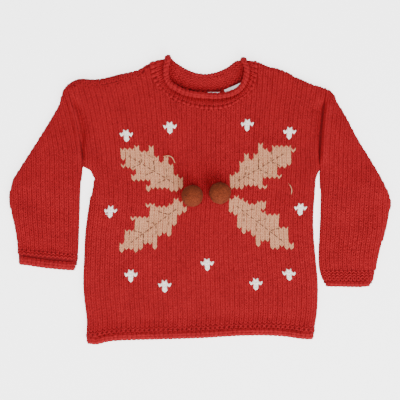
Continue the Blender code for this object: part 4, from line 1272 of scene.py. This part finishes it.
def neck_points(ring, section):
    """Points of a section at every station. From a length and a facing it gives rows of place and height."""
    base, roll, normal = ring
    length = np.linalg.norm(roll - base, axis=1)
    facing = np.maximum(normal[:, 2], 0.0)  # 1 on the front, 0 behind the neck
    rows = np.array([[value + 0 * length for value in row] for row in section(length, facing)])
    place, height = rows.transpose(1, 2, 0)[..., None]
    return base[:, None] + unit(roll - base)[:, None] * place + normal[:, None] * height


def roll_rows(length, angles):
    """Rows round the oval roll, just under its stitches."""
    half, high = (size - ROLL_SINK for size in NECK_ROLL_HALF)
    turns = np.radians(angles)
    return [(length + half * math.cos(turn), NECK_ROLL_HALF[1] + high * math.sin(turn)) for turn in turns]


# %% Neckband cloth
def cloth_section(length, facing):
    """Up the band, through the groove beside the roll, which is deeper on the front, and round the roll."""
    edge, level = NECK_ROLL_HALF[0], WALL - STITCH_RISE
    return [
        (-0.8, 0.9),
        (NECK_SEAM, level),
        ((NECK_SEAM + length - edge) / 2, level),
        (length - edge - 0.6, 1.0 - 1.2 * facing),
        (length - 0.7 * edge, 0.9 - 1.6 * facing),
        *roll_rows(length, NECK_ROLL_ANGLES),
    ]


collar_points = neck_points(neck_ring(90, 70, 9), cloth_section)
collar_cloth = cloth_sheet("collar", collar_points, grid_faces(*collar_points.shape[:2], close=True), 0.8)

# %% Neckband stitches
# Rows of the band and how far each one dips: a taller purl ridge where it is picked up, then V stitches.
BAND_ROWS = ((-0.35, 0.0), (1.15, 0.0), (2.1, 0.0), (3.05, 0.5), (4.0, 1.0))
INNER_ROWS = 6


def band_section(length, facing):
    way = length - NECK_ROLL_HALF[0] + 0.2
    level = WALL - STITCH_RISE
    return [
        (NECK_SEAM + way * step / BAND_ROWS[-1][0], level - dip * (0.8 + 1.4 * facing)) for step, dip in BAND_ROWS
    ]


def roll_section(length, facing):
    return roll_rows(length, np.linspace(204, -88, NECK_ROLL_ROWS + 1))


def inner_section(length, facing):
    """The inside of the band, whose last row turns up into the roll."""
    way = length + 2.4 - NECK_SEAM
    return [(NECK_SEAM + way * step / INNER_ROWS, 0.2 + 0.5 * (step == INNER_ROWS)) for step in range(INNER_ROWS + 1)]


stitch_ring = [np.concatenate([part, part[:1]]) for part in neck_ring(33, 27, 4)]
band_points = neck_points(stitch_ring, band_section)
roll_points = neck_points(stitch_ring, roll_section)
inner_points = neck_points(stitch_ring, inner_section)[::-1]
collar_parts = [
    place_stitches("collar_band_stitches", band_points[:, 1:], knit_form, STITCH_RISE, 51),
    place_stitches("collar_ridge_stitches", band_points[:, :2], purl_form, 2.1, 52),
    place_stitches("collar_roll_stitches", roll_points, purl_form, 1.1, 53),
    place_stitches("collar_inner_stitches", inner_points, arch_form, 0.9, 54),
]

# %% Inner side of the back neck
INSIDE_LEVEL = 2.0
PROP_RISE = 3.2
front_roll = smooth_curve(along_rows(NECK_FRONT), np.linspace(0, 1, 60))[:, 2:4]


def inside_rise(plan):
    """The back is propped up a little where the front of the neckband lies on it."""
    away = to_line(plan.reshape(-1, 2), front_roll)[0].reshape(plan.shape[:-1])
    return PROP_RISE * bell(np.maximum(away - 3.5, 0.0), 4.5) * smooth_step(-3.0, 1.5, away)


inside_x = np.linspace(-52.0, 64.0, 22)
inside_y = 96.0 + np.arange(14) * ROW
inside_plan = np.stack(np.broadcast_arrays(inside_x[:, None], inside_y[None, :]), -1)
inside_points = np.dstack([inside_plan, INSIDE_LEVEL + inside_rise(inside_plan)])
inside_middle = flat_middle(inside_plan)
inside_keep = inside_middle[..., 1] + 0.3 * ROW < np.interp(inside_middle[..., 0], *back_neck.T)
back_parts.append(place_stitches("back_inner_stitches", inside_points, arch_form, 1.0, 22, inside_keep))

# %% Underside of the body
under_flat = trimmed(body_flat, back_neck, False)[::-1]
under_points = over_grid(under_surface, under_flat, body_edges, UNDER_RISE)
back_parts.append(place_stitches("back_stitches", under_points, plain_form, UNDER_RISE, 23, kept_cells(under_flat)))

# %% [markdown]
# ## The rolled hem and cuffs
#
# The hem and the cuffs roll the same way as the neckband, but they are free all round. Each is a closed ring: one
# roll on the upper side, a turn at the end, and one roll on the underside.


# %% Rolled edges
def roll_ring(line, half_width, half_height, across, count, steps):
    """Middles and normals of a closed ring of sections, with all that shapes the roll."""
    run = smooth_curve(along_rows(line), np.linspace(0, 1, count + 1))
    run = np.column_stack([run, np.zeros(len(run))])
    slit = ROLL_SLIT / 2
    angles = math.pi * np.arange(1, steps)[:, None] / steps

    def turn(tip, beside, start):
        outward = unit(tip - beside)
        normal = UP * start * np.cos(angles) + outward * np.sin(angles)
        return np.repeat(tip[None], len(angles), 0), normal

    ends = turn(run[-1], run[-2], 1), turn(run[0], run[1], -1)
    spots = np.concatenate([run, ends[0][0], run[::-1], ends[1][0]])
    ups = np.repeat(UP[None], len(run), 0)
    normals = np.concatenate([ups, ends[0][1], -ups, ends[1][1]])
    centre = spots + UP * (2 * half_height + slit) + normals * slit
    return centre, normals, np.array(across), half_width, half_height


def roll_surface(ring, angles):
    """Rows round the roll, just under its stitches."""
    centre, normals, across, half_width, half_height = ring
    turn = np.radians(np.asarray(angles, float))[None, :, None]
    middle = centre + normals * half_height
    wide, high = half_width - ROLL_SINK, half_height - ROLL_SINK
    return middle[:, None] + across * wide * np.cos(turn) + normals[:, None] * high * np.sin(turn)


DOWN = (0.0, -1.0, 0.0)
LEFT_TILT = math.radians(6.3)
LEFT_DOWN = (-math.sin(LEFT_TILT), -math.cos(LEFT_TILT), 0.0)
# Node, centre line, half width and height, way out, sections along it, rows of stitches, puff over the panel's end.
ROLLS = (
    ("hem_roll", HEM_LINE, HEM_HALF, DOWN, 48, 4, 0.8),
    ("cuff_roll_left", CUFF_LEFT_LINE, CUFF_LEFT_HALF, LEFT_DOWN, 11, 4, 1.2),
    ("cuff_roll_right", CUFF_RIGHT_LINE[::-1], CUFF_RIGHT_HALF, DOWN, 9, 3, 0.8),
)
roll_cloths = []
roll_parts = []
for seed, (name, line, half, across, count, rows, puff) in enumerate(ROLLS, 61):
    line = np.array(line) - puff * np.array(across)[:2]
    ring = roll_ring(line, half[0] + puff, half[1], across, count, 5)
    tube = roll_surface(ring, np.arange(0, 360, 30))
    roll_cloths.append(cloth_sheet(name, tube, grid_faces(*tube.shape[:2], close=True, tube=True), 1.0))
    lattice = roll_surface(ring, np.linspace(0, 360, 2 * rows + 1))
    lattice = np.concatenate([lattice, lattice[:1]])
    roll_parts.append([place_stitches(f"{name}_stitches", lattice, purl_form, 1.1, seed)])

# %% [markdown]
# ## Felt balls and labels
#
# A felt ball is wool rubbed wet until it holds together, so it is round but a little lumpy, with a fuzzy surface.
# The two labels are short pieces of woven tape sewn inside the back neck. They are left bare.

# %% Felt balls
BALL_RADIUS = 12.9
BALL_GRID = (72, 48)
LUMPS = ((2.0, 0.25), (4.0, 0.2), (9.0, 0.12), (21.0, 0.07))  # how close they are, and their height
HAIRS = 1400
HAIR_RADIUS = 0.09


def ball_points(centre, seed):
    """A ball with soft lumps: columns round it, rows from the top down."""
    chance = np.random.default_rng(seed)
    around = np.linspace(0, 2 * math.pi, BALL_GRID[0], endpoint=False)[:, None]
    down = np.linspace(0.02, math.pi - 0.02, BALL_GRID[1])[None, :]
    ways = np.stack([np.sin(down) * np.cos(around), np.sin(down) * np.sin(around), np.cos(down) + 0 * around], -1)
    lumps = np.zeros(ways.shape[:2])
    for size, height in LUMPS:
        for _ in range(6):
            way = unit(chance.normal(size=3))
            lumps += height * np.sin(size * (ways @ way) + chance.uniform(0, 6.3)) / 2
    return centre + ways * (BALL_RADIUS - 0.35 + lumps)[..., None]


for seed, (name, (x, y)) in enumerate(BALL_PLACES.items(), 71):
    floor, top = (corner[2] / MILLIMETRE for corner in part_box(name))
    centre = np.array([x, y, top - BALL_RADIUS])
    points = ball_points(centre, seed)
    points[..., 2] = np.maximum(points[..., 2], floor)
    ball = new_object(name + "_felt", points, grid_faces(*BALL_GRID, close=True)[:, ::-1], brown_felt)
    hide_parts(name)
    chance = np.random.default_rng(seed + 10)
    way = unit(chance.normal(size=(HAIRS, 3)) + (0, 0, 0.5))
    foot = centre + way * (BALL_RADIUS - 0.5)
    tip = foot + unit(way + 0.7 * chance.normal(size=way.shape)) * chance.uniform(0.7, 1.7, (len(way), 1))
    keep = np.minimum(foot, tip)[:, 2] > floor
    foot, tip = foot[keep], tip[keep]
    across = unit(np.cross(tip - foot, chance.normal(size=foot.shape))) * HAIR_RADIUS
    third = unit(np.cross(tip - foot, across)) * HAIR_RADIUS
    hairs = np.stack([foot - across, foot + across, foot + third, tip], 1)
    corners = np.array([(0, 1, 3), (1, 2, 3), (2, 0, 3)])[None] + 4 * np.arange(len(hairs))[:, None, None]
    new_object(name + "_fuzz", hairs, corners.reshape(-1, 3), brown_felt)
    print(f"{name}: {2 * BALL_RADIUS:.0f} mm across, {len(hairs)} hairs")


# %% Labels
TAPE_GRID = (45, 31)
TAPE_THICKNESS = 0.35
TAPE_HEIGHT = 3.65
# Node, x and y of a corner, tilt in degrees, width, length.
LABELS = (("neck_label", 28.8, 132.0, 23.0, 22.0, 15.0), ("size_label", 9.0, 129.2, 0.0, 15.0, 11.0))


def layered(outer, inner):
    """Points and quads of a sheet with two sides and closed borders, facing up on the outer side."""
    columns, rows = outer.shape[:2]
    half = columns * rows
    top = grid_faces(columns, rows)
    number = np.arange(half).reshape(columns, rows)
    rim = []
    for border in (number[:, 0], number[::-1, -1], number[-1], number[0, ::-1]):
        rim.append(np.stack([border[1:], border[:-1], border[:-1] + half, border[1:] + half], -1))
    return np.stack([outer, inner]), np.concatenate([top, top[:, ::-1] + half, *rim])


for name, x, y, angle, wide, long in LABELS:
    turn = math.radians(angle)
    along = np.array((math.cos(turn), math.sin(turn)))
    down = np.array((math.sin(turn), -math.cos(turn)))
    s, t = np.meshgrid(*(np.linspace(0, *size) for size in zip((wide, long), TAPE_GRID)), indexing="ij")
    warp, weft = (np.cos(math.pi * np.arange(count)) for count in TAPE_GRID)
    plan = np.array((x, y)) + s[..., None] * along + t[..., None] * down
    upper = np.dstack([plan, TAPE_HEIGHT + 0.05 * np.outer(warp, weft) + inside_rise(plan)])
    points, faces = layered(upper, upper - (0.0, 0.0, TAPE_THICKNESS))
    tape = new_object(name + "_tape", points, faces[:, ::-1], white_tape)
    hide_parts(name)
print("Labels sewn in")

# %% [markdown]
# ## Table and light
#
# A white table, an even sky and a softbox overhead leave almost no shadow. A strong softbox at the lower right and
# a weak one at the lower left stand low, so that the folds and the stitches still show their form.

# %% Table and light
TABLE_HALF = 3.0  # these two are in metres
TABLE_DROP = 0.0004
WHITE = (1.0, 1.0, 1.0, 1.0)

corners = [(TABLE_HALF * x, TABLE_HALF * y, -TABLE_DROP) for x, y in ((-1, -1), (1, -1), (1, 1), (-1, 1))]
table_mesh = bpy.data.meshes.new("table")
table_mesh.from_pydata(corners, [], [(0, 1, 2, 3)])
table_finish, _ = finish_with("white table", {
    "Base Color": (0.95, 0.95, 0.95, 1.0),
    "Roughness": 1.0,
    "Specular IOR Level": 0.0,
    "Emission Color": WHITE,
    "Emission Strength": 2.4,
})
table_mesh.materials.append(table_finish)
table = bpy.data.objects.new("table", table_mesh)
bpy.context.scene.collection.objects.link(table)

world = bpy.data.worlds.new("studio")
world.use_nodes = True
sky = world.node_tree.nodes["Background"]
sky.inputs["Color"].default_value = WHITE
sky.inputs["Strength"].default_value = 0.5
bpy.context.scene.world = world


def softbox(name, place, size, power):
    data = bpy.data.lights.new(name, "AREA")
    data.shape, data.size, data.energy = "SQUARE", size, power
    lamp = bpy.data.objects.new(name, data)
    lamp.location = place
    lamp.rotation_euler = (-Vector(place)).to_track_quat("-Z", "Y").to_euler()
    bpy.context.scene.collection.objects.link(lamp)


softbox("key light", (0.9, -1.4, 1.3), 1.4, 65.0)
softbox("side light", (-1.5, -1.2, 1.4), 1.4, 26.0)
softbox("fill light", (-0.1, -0.1, 2.4), 1.2, 35.0)
print("Lights:", ", ".join(light.name for light in bpy.data.lights))

# %% [markdown]
# ## The cut of the cloth
#
# The size that each sheet was knitted to is printed.


# %% Sheets
def cut_area(flat):
    """Area of a grid of flat cloth, in square millimetres."""
    one = np.diff(flat[:, :-1], axis=0)
    two = np.diff(flat[:-1], axis=1)
    return float(np.abs(one[..., 0] * two[..., 1] - one[..., 1] * two[..., 0]).sum())


def laid(piece, wide, long, area, below, stitches):
    """Prints the cut of a sheet, given in millimetres."""
    area = min(area, wide * long)
    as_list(below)
    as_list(stitches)
    print(f"{piece.name}: cut {wide:.0f} x {long:.0f} mm, {area / 100:.0f} square centimetres")


panels = ((front_cloth, front_flat, "back", front_parts), (back_cloth, back_flat, "table", back_parts))
for piece, flat, below, stitches in panels:
    wide, long = np.ptp(flat.reshape(-1, 2), axis=0)
    laid(piece, wide, long, cut_area(flat), below, stitches)
for cloth, sleeve, stitches in zip(sleeve_cloths, (left_sleeve, right_sleeve), sleeve_parts):
    y = np.linspace(sleeve.cuff[0][1], sleeve.armhole[3] - SLEEVE_TOP, 120)
    wide = 2 * np.abs(np.subtract(*sleeve.width(y)))
    laid(cloth, wide.max(), y[-1] - y[0], float(wide.mean() * (y[-1] - y[0])), "table", stitches)
band_high = np.linalg.norm(np.diff(collar_points, axis=1), axis=2).sum(1).mean()
band_long = way_along(np.concatenate([collar_points, collar_points[:1]])[:, 2])[-1]
laid(collar_cloth, band_long, band_high, band_long * band_high, "back", collar_parts)
for cloth, parts, (_, line, half, *_) in zip(roll_cloths, roll_parts, ROLLS):
    round_it = 2 * way_along(np.array(line))[-1] + 2 * math.pi * half[1]
    over_it = math.pi * (sum(half) - 2 * ROLL_SINK)
    laid(cloth, round_it, over_it, round_it * over_it, "table", parts)
